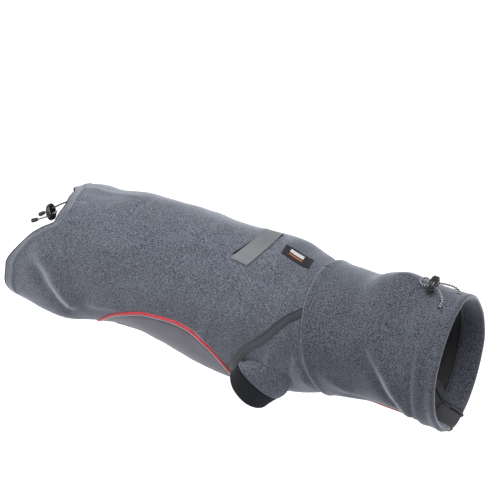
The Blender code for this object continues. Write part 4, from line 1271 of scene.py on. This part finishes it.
def make_cords():
    """Both cord locks with their cords and end caps."""
    neck_path = neck_cord_route()
    neck_lock = cord_lock("neck_cord_lock", NECK_LOCK, "neck_lock")
    neck = piece(round_tube("neck_elastic", neck_path, CORD_RADIUS, "elastic"), "elastic", "neck_cord")
    tail_lock = cord_lock("tail_cord_lock", TAIL_LOCK, "tail_lock")
    tails = (("left", TAIL_CORD_LEFT, 1, "tail_dark"), ("right", TAIL_CORD_RIGHT, -1, "tail_light"))
    for (side, start, sign, mat), end in zip(tails, TAIL_ENDS):
        path = tail_cord_route(start, sign, end)
        cap = end_cap(f"cord_cap_{side}", end, path[-1] - path[-2], f"tail_cord_end_{side}")
        tail = piece(round_tube(f"tail_elastic_{side}", path, CORD_RADIUS, mat), "elastic",
                     f"tail_cord_{side}")


make_camera()
make_cords()


# -------------------- the garment

def make_panels():
    """Every panel of cloth, with the seams and hems that are sewn in it."""
    rows = back_rows()
    # The tail hem's roll takes the darker reverse, painted shade along the rolled edge
    back = cloth("back_cloth", rows, FLEECE, ["fleece", "shaded_reverse"], "fleece", "back_panel",
                 flip=True, rests_on=None, turned=HEM_ROWS - 2)
    stitches(back, "tail_hem_stitches", "tail_hem", [line_on(rows[HEM_ROWS:], TAIL_STITCH_INSET, 0.15)])
    hem = creased(rows[:HEM_ROWS])
    turned, flat = hem[-OUTER_HEM_ROWS], hem[FLAT_HEM_ROWS - 2]
    # A black tube along the tail hem's roll paints its dark shaded outline
    trim("tail_hem_shade_line", turned + (flat - turned) * TAIL_SHADE_LINE_INSET, 2.0, TAIL_SHADE_LINE_RADIUS,
         "shade_black", 10, "fleece", sheet=back)
    rows = belly_rows()
    belly = cloth("belly_cloth", rows, STRETCH, ["stretch", "lining"], "stretch", "belly_panel",
                  held="hung")
    stitches(belly, "belly_hem_stitches", "belly_hem",
             [line_on(rows, inset, 0.1) for inset in BELLY_STITCH_INSETS])
    share = np.linspace(-1, 1, 201)
    rows = collar_rows(lambda x: share * (throat_angle(x) - TRIM_ANGLE))
    collar = cloth("collar_cloth", rows, FLEECE, ["collar", "shaded_reverse"], "fleece", "collar", flip=True)
    stitches(collar, "neck_hem_stitches", "neck_hem",
             [line_on(rows[:-HEM_ROWS][::-1], NECK_HEM_DEPTH, 0.05)])
    across = np.linspace(1, -1, 21)
    rows = collar_rows(lambda x: 180.0 - across * (180.0 - throat_angle(x) - TRIM_ANGLE))
    cloth("gusset_cloth", rows, STRETCH, ["throat", "lining"], "stretch", "throat_gusset",
          flip=True, held="hung", rests_on="belly_cloth")
    shoulder, turn = shoulder_rows()
    for side, place, flip in (("right", np.asarray, True), ("left", mirrored, False)):
        cloth(f"shoulder_cloth_{side}", place(shoulder), FLEECE, ["fleece", "shaded_reverse"], "fleece",
              f"shoulder_{side}", closed=True, flip=flip, cut=SHOULDER_CUT)
        cloth(f"cuff_cloth_{side}", place(cuff_rows(turn)), RIB, ["rib"], "rib", f"cuff_{side}",
              closed=True, flip=flip, rim=0.6, rests_on=f"shoulder_cloth_{side}")
        rows = place(tape_rows())
        tape = cloth(f"tape_{side}", rows, TAPE, ["tape"], "tape", f"raglan_tape_{side}",
                     flip=not flip, rim=0.35, held="laid")
        # A black tube along each of the tape's edges paints the shadow of the gap between tape and
        # fleece; stitches run just inside it
        for edge, column, inner in (("rear", 0, 2), ("front", -1, -3)):
            trim(f"tape_edge_shadow_{edge}_{side}", creased(rows[:, column]), 1.6, TAPE_SHADOW_LINE_RADIUS,
                 "black_thread_and_shadow_line", 8, "tape", sheet=tape)
            line = creased(rows[:, inner])
            stitches(tape, f"tape_stitches_{edge}_{side}", "tape", [(line, away_from_middle(line))])
    return belly, collar


def seam_tape_rows(seam, depth):
    """Rows of a narrow tape over the inner side of a seam of the body."""
    across = np.linspace(-SEAM_TAPE_HALF, SEAM_TAPE_HALF, 5) / MM_PER_DEGREE
    return raised(BODY, seam[:, :1], seam[:, 1:] + across, -depth[:, None])


def make_pipings(belly, collar):
    """Red pipings, the reflective line beside each, and the seams' inner tapes and bindings."""
    seam, flash = to_neck(PIPING), to_neck(FLASH)
    under_collar = np.clip((seam[:, 0] - DIP_START) / DIP_LENGTH, 0, 1)
    under_chest = np.clip((seam[:, 0] - CHEST_START) / DIP_LENGTH, 0, 1) * (1 - under_collar)
    depth = PIPING_DEPTH + DIP_DEPTH * under_collar + CHEST_DEPTH * under_chest
    throat = collar_rows(lambda x: np.array([-THROAT_STEP, 0.0, THROAT_STEP]) - throat_angle(x))
    out = unit(np.cross(np.gradient(throat[:, 1], axis=0), throat[:, 2] - throat[:, 0]))
    line = creased(throat[:, 1])
    across = np.linspace(-THROAT_TAPE_ANGLE, THROAT_TAPE_ANGLE, 7)
    tape = collar_rows(lambda x: across - throat_angle(x))
    tape = creased(tape) - out[:, None] * (FLEECE + SEAM_GAP)
    hem_turn = OUTER_HEM_ROWS - HEM_ROWS
    throat_line = (line - out * THROAT_PIPING_DEPTH)[UNDER_ROWS + FOLD_ROWS // 2:hem_turn]
    for side, sign, place in (("right", -1, np.asarray), ("left", 1, mirrored)):
        path = on_body(seam[:, 0], sign * seam[:, 1], -depth)
        trim(f"red_piping_{side}", path, 1.2, PIPING_RADIUS, "piping", 16, "piping", f"piping_{side}")
        path = on_body(flash[:, 0], sign * flash[:, 1], -FLASH_DEPTH)
        trim(f"flash_{side}", path, 1.5, FLASH_RADIUS + FLASH_SWELL, "silver", 8, "reflective",
             f"reflective_edge_{side}")
        rows = seam_tape_rows(seam * (1, sign), depth + PIPING_RADIUS + SEAM_TAPE_GAP)
        strip(f"seam_tape_{side}", rows, "lining", SEAM_TAPE_WALL, "stretch", belly)
        trim(f"red_throat_piping_{side}", place(throat_line), 1.2, THROAT_PIPING_RADIUS, "piping", 16,
             "piping", f"throat_piping_{side}")
        trim(f"throat_hem_binding_{side}", place(line[hem_turn:-3]), 1.5, THROAT_BINDING_RADIUS, "throat",
             10, "stretch", sheet=collar)
        strip(f"throat_seam_tape_{side}", place(tape[2:hem_turn]), "throat", SEAM_TAPE_WALL, "stretch",
              collar)


def make_buttonholes(collar):
    """Two buttonholes of the neck hem: a dark strip that paints the shade of each slit, close stitches
    round it and a bar at each end.
    """
    long, wide = BUTTONHOLE_RIM
    for side, place in zip(("right", "left"), NECK_BUTTONHOLES):
        along, across = np.meshgrid(np.linspace(-0.5, 0.5, 11) * SLIT_LENGTH, np.linspace(-0.5, 0.5, 5))
        taper = 1 - (2 * along / BUTTONHOLE_LENGTH) ** 4
        points, out = buttonhole_line(place, along, across * taper * SLIT_WIDTH)
        # A near-black strip paints the shade inside the slit
        strip(f"buttonhole_shade_{side}", points + out * SLIT_LIFT, "shade_black", SLIT_LIFT, "label", collar,
              f"buttonhole_{side}")
        rims = [buttonhole_line(place, np.linspace(-0.5, 0.5, 25) * long, edge) for edge in (-wide, wide)]
        stitches(collar, f"buttonhole_stitches_{side}", "buttonhole", rims, math.pi / 2)
        bars = [buttonhole_line(place, np.full(5, end * BAR_PLACE), np.linspace(-BAR_HALF, BAR_HALF, 5))
                for end in (-1, -0.9, 0.9, 1)]
        stitches(collar, f"buttonhole_bars_{side}", "bar", bars)


def make_patches():
    """Reflective bridge over the lead slot, the black facing under it that paints the slot's shade, and
    the label.
    """
    cloth("slot_shade_sheet", patch(SLOT, 15, 61, lambda u, v: PATCH_LIFT), SLOT_SHADE_WALL,
          ["shade_black"], "label", "lead_slot_facing", held="laid")
    top = PATCH_LIFT + WEBBING
    rows = patch(BRIDGE, 21, 81, lambda u, v: top + 0.2 + 1.1 * (1 - u) ** 1.3 * np.sin(np.pi * v) ** 0.4)
    bridge = cloth("reflective_strip", rows, WEBBING, ["reflective"], "reflective", "reflective_bridge",
                   rim=0.3, held="laid", rests_on="slot_shade_sheet")
    stitches(bridge, "strip_stitches", "strip",
             [line_on(rows, inset, 0.1) for inset in STRIP_STITCH_INSETS])
    label = cloth("woven_label", label_rows((0, 0), (1, 1), top), WEBBING, ["label"], "label", "label",
                  rim=0.3, held="laid")
    for name, low, high, mat in LABEL_MARKS:
        rows = creased(label_rows(low, high, top + MARK_LIFT, 17, 7))
        strip(name, rows, mat, MARK_WALL, "label", label)
    border = [label_rows(low, high, top + 0.1, columns, rows).reshape(-1, 3)
              for low, high, columns, rows in LABEL_BORDER]
    stitches(label, "label_stitches", "label",
             [(creased(line), away_from_middle(line)) for line in border])


belly_cloth, collar_cloth = make_panels()
make_pipings(belly_cloth, collar_cloth)
make_buttonholes(collar_cloth)
make_patches()


# -------------------- studio

def area_light(name, place, size, power, color):
    """A square soft box that faces the garment."""
    data = bpy.data.lights.new(name, "AREA")
    data.shape = "RECTANGLE"
    data.size = data.size_y = size
    data.energy = power
    data.color = color
    light = bpy.data.objects.new(name, data)
    light.location = place
    light.rotation_euler = (LIGHT_TARGET - light.location).to_track_quat("-Z", "Y").to_euler()
    bpy.context.scene.collection.objects.link(light)


def make_studio():
    """Pale floor, white surroundings and soft boxes."""
    bpy.ops.mesh.primitive_plane_add(size=12.0, location=(0, 0, FLOOR_HEIGHT))
    floor = bpy.context.object
    floor.name = "floor"
    mat, tree, shader = new_material("floor", 0.9)
    tone = noise(tree, 3.0, 2.0)
    paint(tree, shader, ramp(tree, tone, (0.3, (0.87,) * 3), (0.7, (0.89,) * 3)))
    shader.inputs["Emission Color"].default_value = (1.0, 1.0, 1.0, 1.0)
    shader.inputs["Emission Strength"].default_value = 0.45
    floor.data.materials.append(mat)
    floor.visible_diffuse = False
    world = bpy.data.worlds.new("studio")
    world.use_nodes = True
    tree = world.node_tree
    way = node(tree, "ShaderNodeTexCoord").outputs["Generated"]
    height = node(tree, "ShaderNodeSeparateXYZ", [("Vector", way)]).outputs["Z"]
    sky = ramp(tree, math_node(tree, "MULTIPLY_ADD", height, 0.5), (0.0, (0.9, 0.9, 0.92)),
               (0.3, (0.6, 0.6, 0.62)), (0.5, (0.42, 0.425, 0.43)), (1.0, (0.56, 0.57, 0.58)))
    tree.links.new(sky, tree.nodes["Background"].inputs["Color"])
    bpy.context.scene.world = world
    area_light("key", (0.7, -0.5, 2.1), 1.3, 36.0, (1.0, 0.99, 0.97))
    area_light("rear", (-1.5, -0.6, 1.0), 1.0, 15.0, (0.95, 0.97, 1.0))
    bpy.context.scene.view_settings.view_transform = "Standard"


make_studio()
